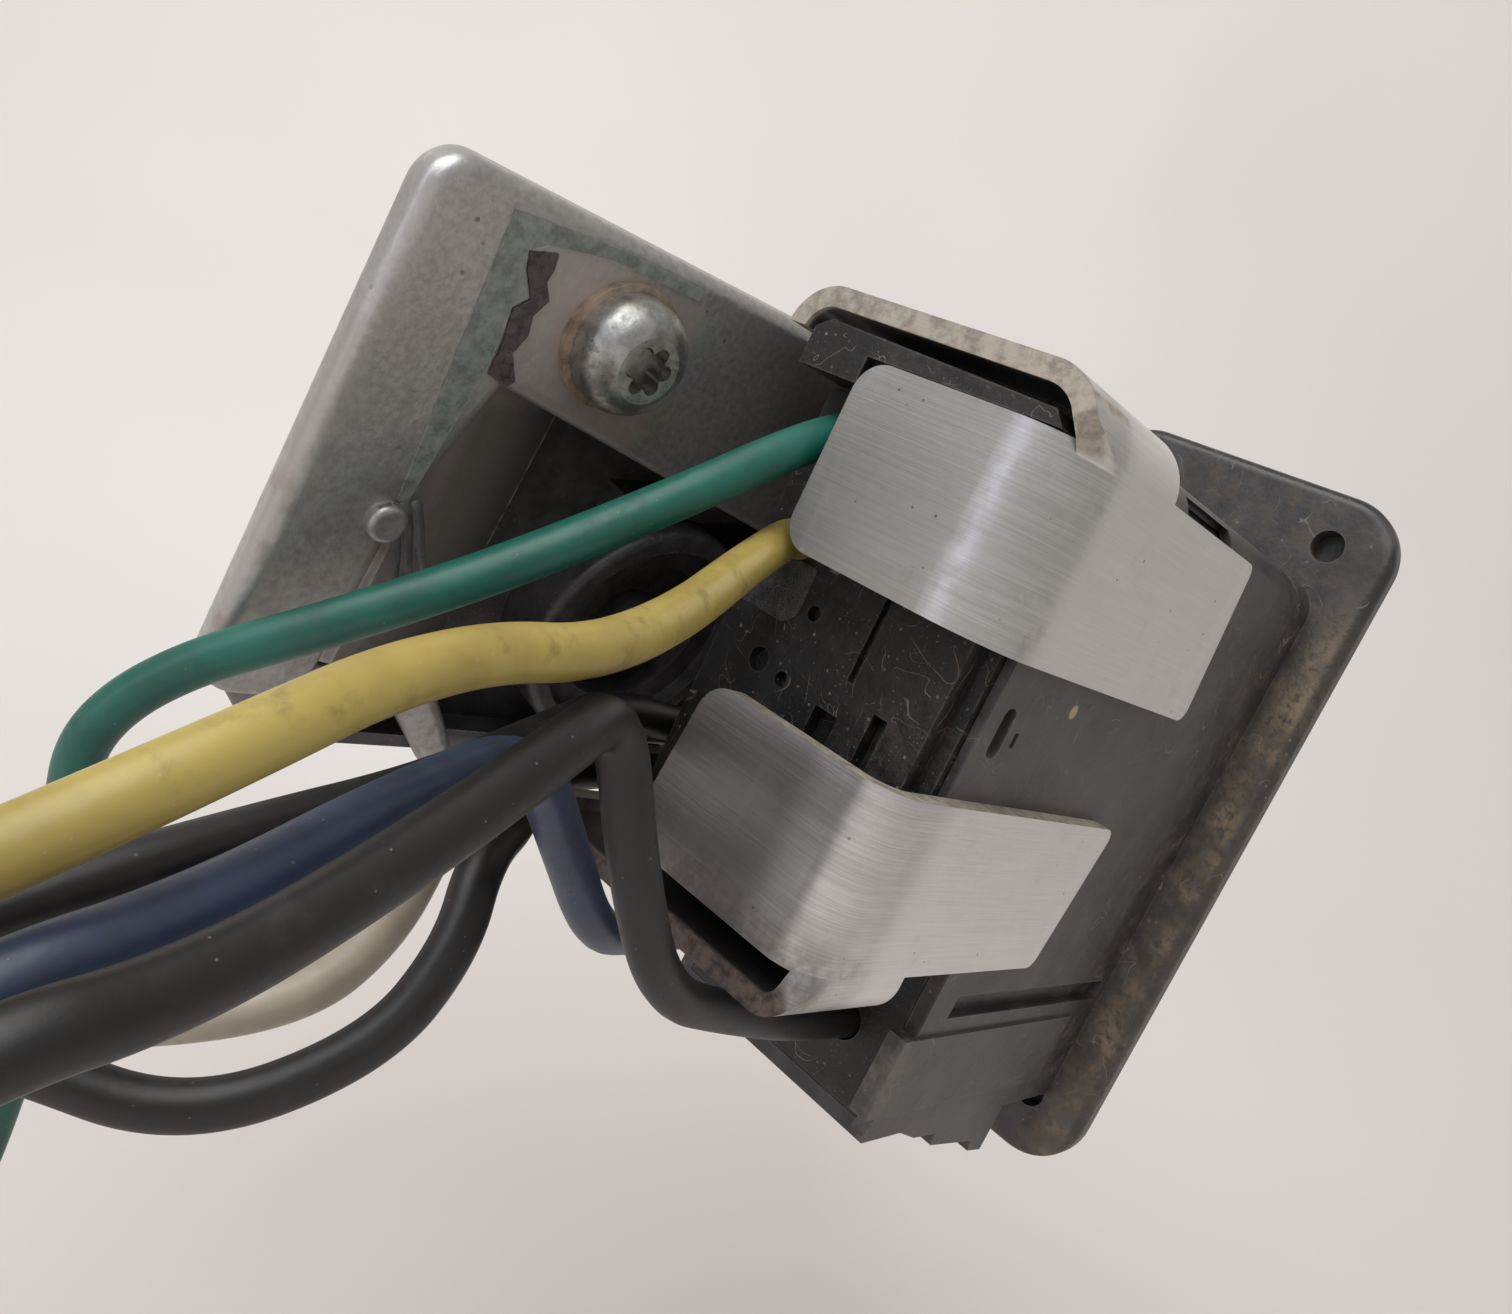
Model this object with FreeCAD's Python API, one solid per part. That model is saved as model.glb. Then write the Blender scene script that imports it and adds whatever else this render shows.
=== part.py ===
import FreeCAD
import Part
import math
import os

# Rear-wired power inlet with a resettable breaker, held in its upright panel place.
# +Y is the front of the panel, -Y the back where the leads are, +X right, +Z up.
# The origin is the centre of the bezel's four screw holes, on the face that seats on the panel.
# All sizes are in millimetres.

V = FreeCAD.Vector
X_AXIS, Y_AXIS, Z_AXIS = V(1, 0, 0), V(0, 1, 0), V(0, 0, 1)

# ---- driving dimensions: bezel and module ----
flange_w = 28.4          # bezel width, X
flange_low = -32.4       # bezel's bottom and top edges, Z
flange_high = 31.4
flange_t = 3.0
flange_corner_r = 5.2
flange_edge_r = 1.0      # both outer edges, so that the rim is round
bezel_hole_x = 17.6      # spacing of the bezel's screw holes
bezel_hole_z = 53.6
bezel_hole_r = 1.35      # blind pilot holes for self-tapping screws, from the rear
bezel_hole_depth = 2.2

module_z = 5.0           # height of the module's centre line above the origin
body_w = 18.8            # module housing
body_h = 36.5
body_back = 43.1         # depth of the housing behind the panel face
body_wall = 1.5
body_corner_r = 2.75     # long edges, so that the clips' folds clear them
sleeve_wall = 0.7
sleeve_gap = 0.05
sleeve_depth = 42.5      # right wall of the sleeve
sleeve_left_depth = 36.0     # left wall, short of the clips' returns
sleeve_end_depth = 34.0  # top and bottom walls of the sleeve
back_cover_t = 1.5
back_cover_end = 8.3     # X of the cover's right edge
ear_low = 14.5           # ears at the back of the housing, from its centre line
ear_high = 17.6          # at the left end
ear_high_right = 17.1    # at the right end
ear_reach = (5.5, 2.9)   # upper and lower
ear_bearing = -4.6       # the upper clip's lip bears on the ear to the right of this X

chamber_h = 12.85        # lower chamber for the breaker
chamber_depth = 29.0
chamber_wall = 1.2
chamber_lip = 1.8        # wall that stands behind the chamber's cover on the right
chamber_pad_t = 0.3      # raised pad on the right wall, in line with that lip
chamber_pad_z = (2.3, 8.6)   # from the chamber's bottom
rail_w = 2.25            # two stepped guide rails under the chamber
rail_outline = [(-25.5, 0.6), (-25.5, 0.1), (-22.5, -0.9), (-18.9, -1.1), (-18.8, -2.2), (-11.2, -3.1),
                (-11.0, -4.1), (-8.5, -4.4), (-8.5, 0.6)]   # Y, and Z from the chamber's bottom
breaker_cover_t = 1.5

# ---- driving dimensions: clips ----
clip_t = 1.3
clip_hook_r = 3.2        # outer radius of the wing's return on the left
clip_hook_drop = 2.9     # height of that return
clip_wing_end = -(body_w / 2 + 1.8)     # X of the wing's rounded return
clip_corner_run = 2.5    # height over which the leg's rear corner sharpens
clip_corner_edge = 0.4   # what is left of its radius at the top
clip_corner_r = 2.0
clip_tab_corner_r = 1.0
# Each clip was bent by hand, so each has its own sizes. Heights are from the module's centre line,
# depths are behind the panel face, and pairs run from the lip's inner side to its outer side.
UPPER_CLIP = {"face": 49.0, "lip": (4.15, 16.1), "end": (-4.3, -4.3), "bend_r": 5.0,
              "fold_r": 3.9, "tab_front": (18.0, 20.0), "wing_front": 36.3, "leg": 15.3}
LOWER_CLIP = {"face": 50.3, "lip": (4.9, 16.4), "end": (-3.3, -4.4), "bend_r": 3.2,
              "fold_r": 2.4, "tab_front": (19.5, 21.4), "wing_front": 39.3, "leg": 16.1}

# ---- driving dimensions: appliance inlet ----
inlet_z = 10.0           # centre of the recess
inlet_w = 16.4           # across, X
inlet_h = 24.4           # along, Z
inlet_chamfer = 4.0      # two corners on the earth pin's side
inlet_floor = 14.0       # depth of the recess's floor
inlet_floor_t = 2.0
pin_pitch = 14.0         # between the two line pins
pin_long = 4.0           # pin section
pin_short = 2.0
line_pin_x = -2.0
earth_pin_x = 2.0
pin_tip = 2.5            # depth of the line pins' tips
pin_gap = 0.04
tab_back = 39.5          # depth at which the rear tabs end

# ---- driving dimensions: reset button ----
button_z = -19.6
button_r = 3.3
button_gap = 0.2
button_out = 2.6         # how far it stands proud
button_collar_r = 4.4
button_collar_t = 1.2
reset_spring_r = 2.4
reset_spring_wire = 0.3

# ---- driving dimensions: lid ----
lid_half_w = 10.0
lid_top = 23.4
lid_bottom = -4.0
lid_y = 3.6              # inner face
lid_t = 2.4
lid_axis_y = 5.9
lid_axis_z = 26.0
lid_pin_r = 0.9
lid_spring_r = lid_pin_r + 0.4
knuckle_r = 2.2
knuckle_half = 3.9
lid_ear_gap = 0.2
lid_ear_t = 2.1

# ---- driving dimensions: side plate ----
# Drawn flat with x forward, y up and z out towards the module, then placed.
plate_origin = (-body_w / 2 - 3.6, -73.8, 20.1)  # its top rear corner
plate_lean = 11.3        # degrees, foot outwards
plate_pitch = 3.9        # degrees, front up
plate_t = 2.0
plate_len = 47.0
plate_h = 33.2
plate_h_front = 38.0     # deeper round the plug
plate_corner_r = 2.5
plate_edge_r = 0.9
arm_z = (12.0, 22.0)     # pad on the sleeve's left wall
arm_y = (-24.0, -5.0)
arm_t = 1.6
plate_screw_r = 1.0
window_outline = [(9.5, -10.6), (40.5, -15.4), (40.5, -35.6), (19.0, -35.6), (15.0, -30.6), (6.8, -30.6),
                  (7.2, -19.4)]
ramp_depth = 4.0         # the formed wall at the window's rear
ramp_run = 8.0
ramp_top, ramp_bottom = -10.6, -30.4
block_depth = 9.0        # moulding on the plate's back
plug_x, plug_y = 30.5, -25.3
plug_r = 9.2
earth_x, earth_y = 15.0, -5.8
earth_head_r = 3.5
earth_head_h = 2.9
earth_washer_r = 3.9
earth_washer_t = 0.6
earth_shank_r = 1.75     # M3.5
earth_lobe_ring = 1.1    # six-lobe recess
earth_lobe_r = 0.48
nub_x, nub_y, nub_r = 6.1, -20.0, 1.2    # pressed nub that locates the film
film_t = 0.15
label_t = 0.15

# ---- driving dimensions: terminals for the side leads ----
strip_w = 6.4
strip_gap = 0.05         # to the sleeve's wall
strip_y = (-34.0, -22.0)
strip_z = (-13.2, -4.0)

# ---- driving dimensions: leads ----
lead_r = 1.3
lead_core_r = 0.7
lead_core_len = 7.0
lead_hole_r = 1.45

# Routes of the leads, from inside the housing to the bare end
ROUTES = {
    "lead_green": [(-6.2, -37.0, 16.8), (-6.2, -43.6, 16.8), (-6.3, -46.6, 16.6), (-7.2, -57.5, 7.4),
                   (-11.0, -66.5, -1.7), (-20.1, -76.6, -13.2), (-18.5, -75.5, -22.1),
                   (-16.8, -74.3, -37.1), (-16.6, -75.1, -49.6), (-16.7, -76.4, -62.7)],
    "lead_yellow": [(-6.2, -37.0, 9.9), (-6.2, -44.8, 9.9), (-6.3, -47.0, 8.7), (4.1, -65.5, 2.3),
                    (5.2, -76.2, 1.1), (8.9, -86.8, -3.6), (7.7, -95.4, -10.8), (4.5, -100.4, -22.1),
                    (2.2, -101.9, -35.5)],
    "lead_black_breaker": [(4.65, -26.2, -19.85), (4.65, -35.5, -19.85), (5.6, -46.6, -17.5),
                           (7.1, -55.6, -14.7), (6.6, -61.5, -7.7), (4.7, -65.4, 0.1), (7.5, -70.6, -1.6),
                           (10.2, -78.2, -5.6), (13.1, -86.1, -8.5), (14.1, -92.6, -9.7),
                           (11.3, -100.2, -19.4), (10.1, -102.8, -31.4)],
    "lead_black_loop": [(-13.5, -29.0, -10.3), (-13.5, -40.0, -10.3), (-12.9, -51.4, -11.8),
                        (-5.8, -57.7, -11.4), (-2.5, -62.4, -12.3), (0.3, -64.0, -16.1),
                        (1.2, -67.1, -21.3), (-1.9, -73.6, -27.0), (-7.2, -80.3, -26.3),
                        (-11.5, -86.1, -26.1), (-13.7, -90.1, -31.4), (-13.3, -91.1, -41.9)],
    "lead_white": [(-15.2, -29.0, -7.5), (-15.2, -40.0, -7.5), (-12.0, -50.8, -7.8), (-9.9, -58.8, -10.2),
                   (-6.4, -62.4, -13.7), (-4.6, -64.5, -18.3), (-5.1, -67.4, -22.9), (-9.4, -73.9, -26.9),
                   (-15.2, -80.6, -29.3), (-18.2, -85.3, -35.4), (-16.8, -85.8, -43.7)],
    "lead_blue": [(-4.55, -26.2, -18.0), (-4.55, -35.5, -18.0), (-3.5, -46.6, -18.0), (-0.2, -54.1, -15.5),
                  (0.8, -60.6, -9.4), (2.1, -66.9, -3.7), (5.8, -75.9, -5.4), (9.2, -84.6, -8.4),
                  (10.3, -91.1, -10.3), (8.3, -96.9, -17.9), (6.9, -99.7, -26.0), (6.0, -100.8, -38.0)],
    "lead_black_top": [(-12.2, -29.0, -6.5), (-12.2, -40.0, -6.5), (-9.7, -50.7, -4.9),
                       (-3.4, -61.2, -5.4), (2.1, -71.9, -6.6), (5.3, -81.8, -7.9), (5.3, -91.8, -12.2),
                       (1.7, -97.8, -22.2), (-0.6, -99.4, -35.7)],
}

NODES = {}


# ---- small geometry helpers ----
def keep(name, shape):
    """Store a finished piece under its node name."""
    NODES[name] = shape


def box(x0, x1, y0, y1, z0, z1):
    return Part.makeBox(x1 - x0, y1 - y0, z1 - z0, V(x0, y0, z0))


def rod_y(x, z, r, y0, y1):
    """Cylinder along +Y from y0 to y1."""
    return Part.makeCylinder(r, y1 - y0, V(x, y0, z), Y_AXIS)


def rod_x(y, z, r, x0, x1):
    """Cylinder along +X from x0 to x1."""
    return Part.makeCylinder(r, x1 - x0, V(x0, y, z), X_AXIS)


def prism_y(points, y0, y1):
    """Straight prism over an outline of (x, z) points."""
    wire = Part.makePolygon([V(x, y0, z) for x, z in points] + [V(points[0][0], y0, points[0][1])])
    return Part.Face(wire).extrude(V(0, y1 - y0, 0))


def prism_x(points, x0, x1):
    """Straight prism over an outline of (y, z) points."""
    wire = Part.makePolygon([V(x0, y, z) for y, z in points] + [V(x0, points[0][0], points[0][1])])
    return Part.Face(wire).extrude(V(x1 - x0, 0, 0))


def edges_along(shape, axis):
    """Straight edges of a shape that run along an axis."""
    found = []
    for edge in shape.Edges:
        if isinstance(edge.Curve, Part.Line) and abs(abs(edge.Curve.Direction.dot(axis)) - 1) < 1e-6:
            found.append(edge)
    return found


def round_along(shape, axis, radius):
    return shape.makeFillet(radius, edges_along(shape, axis))


def round_box_y(x0, x1, y0, y1, z0, z1, radius):
    """Box whose four edges along Y are rounded."""
    return round_along(box(x0, x1, y0, y1, z0, z1), Y_AXIS, radius)


def edges_at_y(shape, y):
    """Edges that lie wholly in the plane at depth y."""
    return [e for e in shape.Edges if all(abs(v.Y - y) < 1e-6 for v in e.Vertexes)]


def mirror_z(shape, z):
    return shape.mirror(V(0, 0, z), Z_AXIS)


def group(shapes):
    return Part.makeCompound(shapes)


def coil(centre, axis, r, wire_r, length, turns):
    """Compression spring as a swept helix, its axis starting at centre."""
    pitch = length / turns
    helix = Part.makeHelix(pitch, length, r)
    profile = Part.Wire(Part.makeCircle(wire_r, V(r, 0, 0), V(0, r, pitch / (2 * math.pi))))
    spring = Part.Wire(helix).makePipeShell([profile], True, True)
    spring.rotate(V(0, 0, 0), Z_AXIS.cross(axis), math.degrees(Z_AXIS.getAngle(axis)))
    spring.translate(centre)
    return spring


def lead_path(points):
    """Straight runs joined by tangent arcs. Returns the wire and its tightest radius."""
    pts = [V(*p) for p in points]
    start = pts[0]
    edges, tightest = [], 1e9
    for i in range(1, len(pts) - 1):
        before, after = pts[i] - pts[i - 1], pts[i + 1] - pts[i]
        turn = before.getAngle(after)
        reach = 0.45 * min(before.Length, after.Length)
        radius = reach / math.tan(turn / 2)
        tightest = min(tightest, radius)
        u, w = before.normalize(), after.normalize()
        enter, leave = pts[i] - u * reach, pts[i] + w * reach
        inward = (w - u).normalize()
        centre = pts[i] + inward * (radius / math.cos(turn / 2))
        middle = centre - inward * radius
        edges.append(Part.LineSegment(start, enter).toShape())
        edges.append(Part.Arc(enter, middle, leave).toShape())
        start = leave
    edges.append(Part.LineSegment(start, pts[-1]).toShape())
    return Part.Wire(edges), tightest


def lead(name):
    """Insulated lead and its bare copper end."""
    points = ROUTES[name]
    path, tightest = lead_path(points)
    first, last = V(*points[0]), V(*points[-1])
    out = (V(*points[1]) - first).normalize()
    profile = Part.Wire(Part.makeCircle(lead_r, first, out))
    tube = path.makePipeShell([profile], True, False)
    expected = math.pi * lead_r ** 2 * path.Length
    print(name, "length %.1f mm" % path.Length, "tightest radius %.1f" % tightest,
          "volume ratio %.4f" % (tube.Volume / expected))
    end = (last - V(*points[-2])).normalize()
    core = Part.makeCylinder(lead_core_r, lead_core_len, last, end)
    return tube, core


# ---- derived places shared by several pieces ----
body_half = body_w / 2
body_top = module_z + body_h / 2
body_bottom = module_z - body_h / 2
sleeve_in = body_half + sleeve_gap
sleeve_out = sleeve_in + sleeve_wall
front_half_h = body_h / 2 - sleeve_wall - sleeve_gap   # housing height inside the sleeve, halved
chamber_bottom = body_bottom - chamber_h
cover_back = body_back + back_cover_t
line_rows = (inlet_z + pin_pitch / 2, inlet_z - pin_pitch / 2)


def inlet_outline(grow):
    """Outline of the recess, grown outwards."""
    x, z, c = inlet_w / 2 + grow, inlet_h / 2 + grow, inlet_chamfer
    return [(-x, inlet_z - z), (x - c, inlet_z - z), (x, inlet_z - z + c), (x, inlet_z + z - c),
            (x - c, inlet_z + z), (-x, inlet_z + z)]


def on_plate(shape):
    """Copy of a shape drawn in the side plate's own axes, put in its place."""
    copy = shape.copy()
    copy.rotate(V(0, 0, 0), V(1, 1, 1), 120)
    copy.rotate(V(0, 0, 0), X_AXIS, plate_pitch)
    copy.rotate(V(0, 0, 0), Y_AXIS, plate_lean)
    copy.translate(V(*plate_origin))
    return copy


def prism_z(points, z0, z1):
    """Straight prism over an outline of (x, y) points."""
    wire = Part.makePolygon([V(x, y, z0) for x, y in points] + [V(points[0][0], points[0][1], z0)])
    return Part.Face(wire).extrude(V(0, 0, z1 - z0))


def rod_z(x, y, r, z0, z1):
    return Part.makeCylinder(r, z1 - z0, V(x, y, z0), Z_AXIS)


def edges_at_z(shape, z):
    """Edges that lie wholly at height z."""
    return [e for e in shape.Edges if all(abs(v.Z - z) < 1e-6 for v in e.Vertexes)]


def make_bezel_frame():
    flange = round_box_y(-flange_w / 2, flange_w / 2, 0, flange_t, flange_low, flange_high,
                         flange_corner_r)
    flange = flange.makeFillet(flange_edge_r, edges_at_y(flange, flange_t) + edges_at_y(flange, 0))
    sleeve = round_box_y(-sleeve_out, sleeve_out, -sleeve_depth, 1, body_bottom, body_top,
                         body_corner_r)
    sleeve = sleeve.cut(round_box_y(-sleeve_in, sleeve_in, -sleeve_depth - 1, 1,
                                    body_bottom + sleeve_wall, body_top - sleeve_wall,
                                    body_corner_r - sleeve_wall))
    ends_off = box(-sleeve_in, sleeve_in, -sleeve_depth - 1, -sleeve_end_depth,
                   body_bottom - 1, body_top + 1)
    left_off = box(-sleeve_out - 1, -sleeve_in + 1, -sleeve_depth - 1, -sleeve_left_depth,
                   body_bottom - 1, body_top + 1)
    chamber = box(-sleeve_out, sleeve_out, -chamber_depth - breaker_cover_t, 0, chamber_bottom,
                  body_bottom + body_corner_r)
    chamber = chamber.cut(round_box_y(-sleeve_in, sleeve_in, -sleeve_depth, 1,
                                      body_bottom + sleeve_wall, body_top,
                                      body_corner_r - sleeve_wall))
    lip = box(sleeve_out - chamber_wall, sleeve_out + chamber_pad_t,
              -chamber_depth - breaker_cover_t - chamber_lip, -5.0,
              chamber_bottom + chamber_pad_z[0], chamber_bottom + chamber_pad_z[1])
    outline = [(y, chamber_bottom + z) for y, z in rail_outline]
    rails = [prism_x(outline, sleeve_out - rail_w, sleeve_out),
             prism_x(outline, -sleeve_out, -sleeve_out + rail_w)]
    chamber_in = box(-sleeve_out + chamber_wall, sleeve_out - chamber_wall,
                     -chamber_depth - breaker_cover_t - 1, 0,
                     chamber_bottom + chamber_wall, body_bottom - 0.05)
    frame = flange.fuse([sleeve.cut([ends_off, left_off]), chamber.cut(chamber_in), lip] + rails)
    ears = []
    for side in (-1, 1):
        a = side * (knuckle_half + lid_ear_gap)
        b = a + side * lid_ear_t
        a, b = min(a, b), max(a, b)
        ears.append(rod_x(lid_axis_y, lid_axis_z, knuckle_r, a, b))
        ears.append(box(a, b, flange_t - 0.5, lid_axis_y, lid_axis_z - knuckle_r,
                        lid_axis_z + knuckle_r))
    frame = frame.fuse(ears)
    cuts = [prism_y(inlet_outline(0.1), -1, flange_t + 1),
            rod_x(lid_axis_y, lid_axis_z, lid_pin_r, -10, 10),
            rod_y(0, button_z, button_r + button_gap, -1, flange_t + 1)]
    # Moulded slots and a latch window in the right wall
    inner, outer = sleeve_in - 1, sleeve_out + 1
    cuts.append(box(sleeve_out - 0.9, outer, -27.4, -1.0, body_bottom - 2.95, body_bottom - 1.15))
    cuts.append(box(inner, outer, -30.6, -21.6, body_top - 2.2, body_top - 0.7))
    cuts.append(round_along(box(inner, outer, -40.9, -39.5, 3.0, 6.3), X_AXIS, 0.6))
    cuts.append(box(sleeve_out - 0.4, outer, -38.5, -38.0, 3.9, 4.9))
    for sx in (-1, 1):
        for sz in (-1, 1):
            cuts.append(rod_y(sx * bezel_hole_x / 2, sz * bezel_hole_z / 2, bezel_hole_r,
                              -1, bezel_hole_depth))
    for y, z in arm_screws():
        cuts.append(rod_x(y, z, plate_screw_r + pin_gap, -sleeve_out - 1, -sleeve_in + 1))
    keep("bezel_frame", frame.cut(cuts).removeSplitter())


def arm_screws():
    """Screws that hold the side plate's pad to the sleeve, as (y, z)."""
    mid = (arm_z[0] + arm_z[1]) / 2
    return [(arm_y[0] + 6.0, mid), (arm_y[1] - 5.0, mid)]


def make_ear(reach):
    """Shelf that stands out from the back of the housing above its cover."""
    outline = [(-body_half, ear_low), (body_half, ear_low), (body_half, ear_high_right - 0.9),
               (body_half - 0.8, ear_high_right),
               (-body_half + 1.1, ear_high), (-body_half, ear_high - 0.7)]
    outline = [(x, module_z + z) for x, z in outline]
    return prism_y(outline, -body_back - reach, -body_back + 1.0)


def lip_bearing():
    """What is taken off the upper ear where the upper clip's lip and bend lie on it."""
    lip_back = -UPPER_CLIP["face"] + clip_t
    top = module_z + UPPER_CLIP["lip"][1] + 0.1
    low = module_z + ear_low - 1
    room = box(ear_bearing - 2, sleeve_out, lip_back, lip_back + 9, low - 1, top + 1)
    corner = [e for e in edges_along(room, Z_AXIS)
              if e.Vertexes[0].X > sleeve_out - 0.01 and e.Vertexes[0].Y < lip_back + 0.01]
    room = room.makeFillet(UPPER_CLIP["bend_r"] - clip_t + 0.1, corner)
    return box(ear_bearing, sleeve_out + 1, lip_back - 2, lip_back + 6, low, top).cut(room)


def make_module_body():
    front = round_box_y(-body_half, body_half, -sleeve_end_depth, 0,
                        module_z - front_half_h, module_z + front_half_h, body_corner_r - sleeve_wall)
    rear = round_box_y(-body_half, body_half, -body_back, -sleeve_end_depth, body_bottom, body_top,
                       body_corner_r)
    inner_half_h = front_half_h - body_wall
    inner_half_w = body_half - body_wall
    back_of_floor = -inlet_floor - inlet_floor_t
    hollow = box(-inner_half_w, inner_half_w, -body_back - 1, back_of_floor,
                 module_z - inner_half_h, module_z + inner_half_h)
    body = front.fuse(rear).cut([hollow, prism_y(inlet_outline(0), -inlet_floor, 1)])
    upper = make_ear(ear_reach[0]).cut(lip_bearing())
    body = body.fuse([upper, mirror_z(make_ear(ear_reach[1]), module_z)])
    slots = [box(line_pin_x - pin_long / 2, line_pin_x + pin_long / 2, -20, 0,
                 z - pin_short / 2, z + pin_short / 2) for z in line_rows]
    slots.append(box(earth_pin_x - pin_long / 2, earth_pin_x + pin_long / 2, -20, 0,
                     inlet_z - pin_short / 2, inlet_z + pin_short / 2))
    bores = [rod_x(y, z, plate_screw_r + pin_gap, -body_half - 1, -inner_half_w + 0.5)
             for y, z in arm_screws()]
    keep("module_body", body.cut(slots + bores).removeSplitter())


def make_inlet_pins():
    """Flat pins with tapered tips and rear tabs for the leads."""
    def pin(x, z, tip):
        blade = box(x - pin_long / 2, x + pin_long / 2, -inlet_floor - inlet_floor_t - 2.0, -tip,
                    z - pin_short / 2, z + pin_short / 2)
        blade = blade.makeChamfer(0.5, edges_at_y(blade, -tip))
        tab = box(x - 2.4, x + 2.4, -tab_back, -inlet_floor - inlet_floor_t - 1.0, z - 0.4, z + 0.4)
        return blade.fuse(tab).removeSplitter()
    keep("line_pins", group([pin(line_pin_x, z, pin_tip) for z in line_rows]))
    keep("earth_pin", pin(earth_pin_x, inlet_z, pin_tip - 1.5))


def make_module_back_cover():
    half_h = ear_low - 0.05
    cover = box(-body_half, back_cover_end, -cover_back, -body_back, module_z - half_h,
                module_z + half_h)
    green, yellow = ROUTES["lead_green"][0], ROUTES["lead_yellow"][0]
    cuts = [rod_y(green[0], green[2], lead_hole_r, -cover_back - 1, -body_back + 1),
            rod_y(yellow[0], yellow[2], lead_hole_r, -cover_back - 1, -body_back + 1),
            rod_y(-2.85, 5.85, 0.5, -cover_back - 1, -cover_back + 0.8),
            rod_y(-5.25, 1.55, 0.8, -cover_back - 1, -cover_back + 0.8),
            rod_y(-2.95, 1.2, 0.5, -cover_back - 1, -cover_back + 0.8),
            box(1.6, 2.1, -cover_back - 1, -cover_back + 0.5, 3.3, 19.0),
            box(4.4, 5.5, -cover_back - 1, -cover_back + 1.2, -9.0, 2.4),
            box(0.3, 2.2, -cover_back - 1, -cover_back + 1.2, -3.5, 1.0)]
    keep("module_back_cover", cover.cut(cuts))


def make_breaker():
    half = sleeve_out - chamber_wall - 0.05
    top, bottom = body_bottom - 0.1, chamber_bottom + chamber_wall + 0.05
    cover = box(-half, half, -chamber_depth - breaker_cover_t, -chamber_depth, bottom, top)
    black, blue = ROUTES["lead_black_breaker"][0], ROUTES["lead_blue"][0]
    holes = [rod_y(p[0], p[2], lead_hole_r, -chamber_depth - 3, -chamber_depth + 1)
             for p in (black, blue)]
    keep("breaker_cover", cover.cut(holes))
    button = rod_y(0, button_z, button_r, -0.2, flange_t + button_out)
    button = button.makeFillet(0.6, edges_at_y(button, flange_t + button_out))
    collar = rod_y(0, button_z, button_collar_r, -0.2 - button_collar_t, -0.2)
    stem = rod_y(0, button_z, 1.4, -9.0, -0.2 - button_collar_t)
    keep("reset_button", button.fuse([collar, stem]).removeSplitter())
    back = -0.2 - button_collar_t
    keep("reset_spring", coil(V(0, back - 0.3, button_z), V(0, -1, 0), reset_spring_r,
                              reset_spring_wire, 9.6, 6))
    seat = box(-half, half, -14.0, -12.0, bottom, top)
    keep("spring_seat", seat.cut(rod_y(0, button_z, 1.6, -15, -11)))
    keep("breaker_bimetal", box(-6.5, 6.5, -17.8, -17.2, button_z - 2.0, button_z + 2.0))
    posts = []
    for x in (-5.0, 5.0):
        posts.append(box(x - 1.5, x + 1.5, -26.0, -17.8, button_z - 0.4, button_z + 0.4))
    keep("breaker_terminals", group(posts))


def rounded_plan(z, x0, x1, y0, y1, r):
    """Outline of a box at height z, its corner at (x1, y0) rounded."""
    mid = r * (1 - math.sin(math.radians(45)))
    corner = Part.Arc(V(x1 - r, y0, z), V(x1 - mid, y0 + mid, z), V(x1, y0 + r, z)).toShape()
    points = [V(x1, y0 + r, z), V(x1, y1, z), V(x0, y1, z), V(x0, y0, z), V(x1 - r, y0, z)]
    return Part.Wire([corner] + [Part.makeLine(p, q) for p, q in zip(points, points[1:])])


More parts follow.
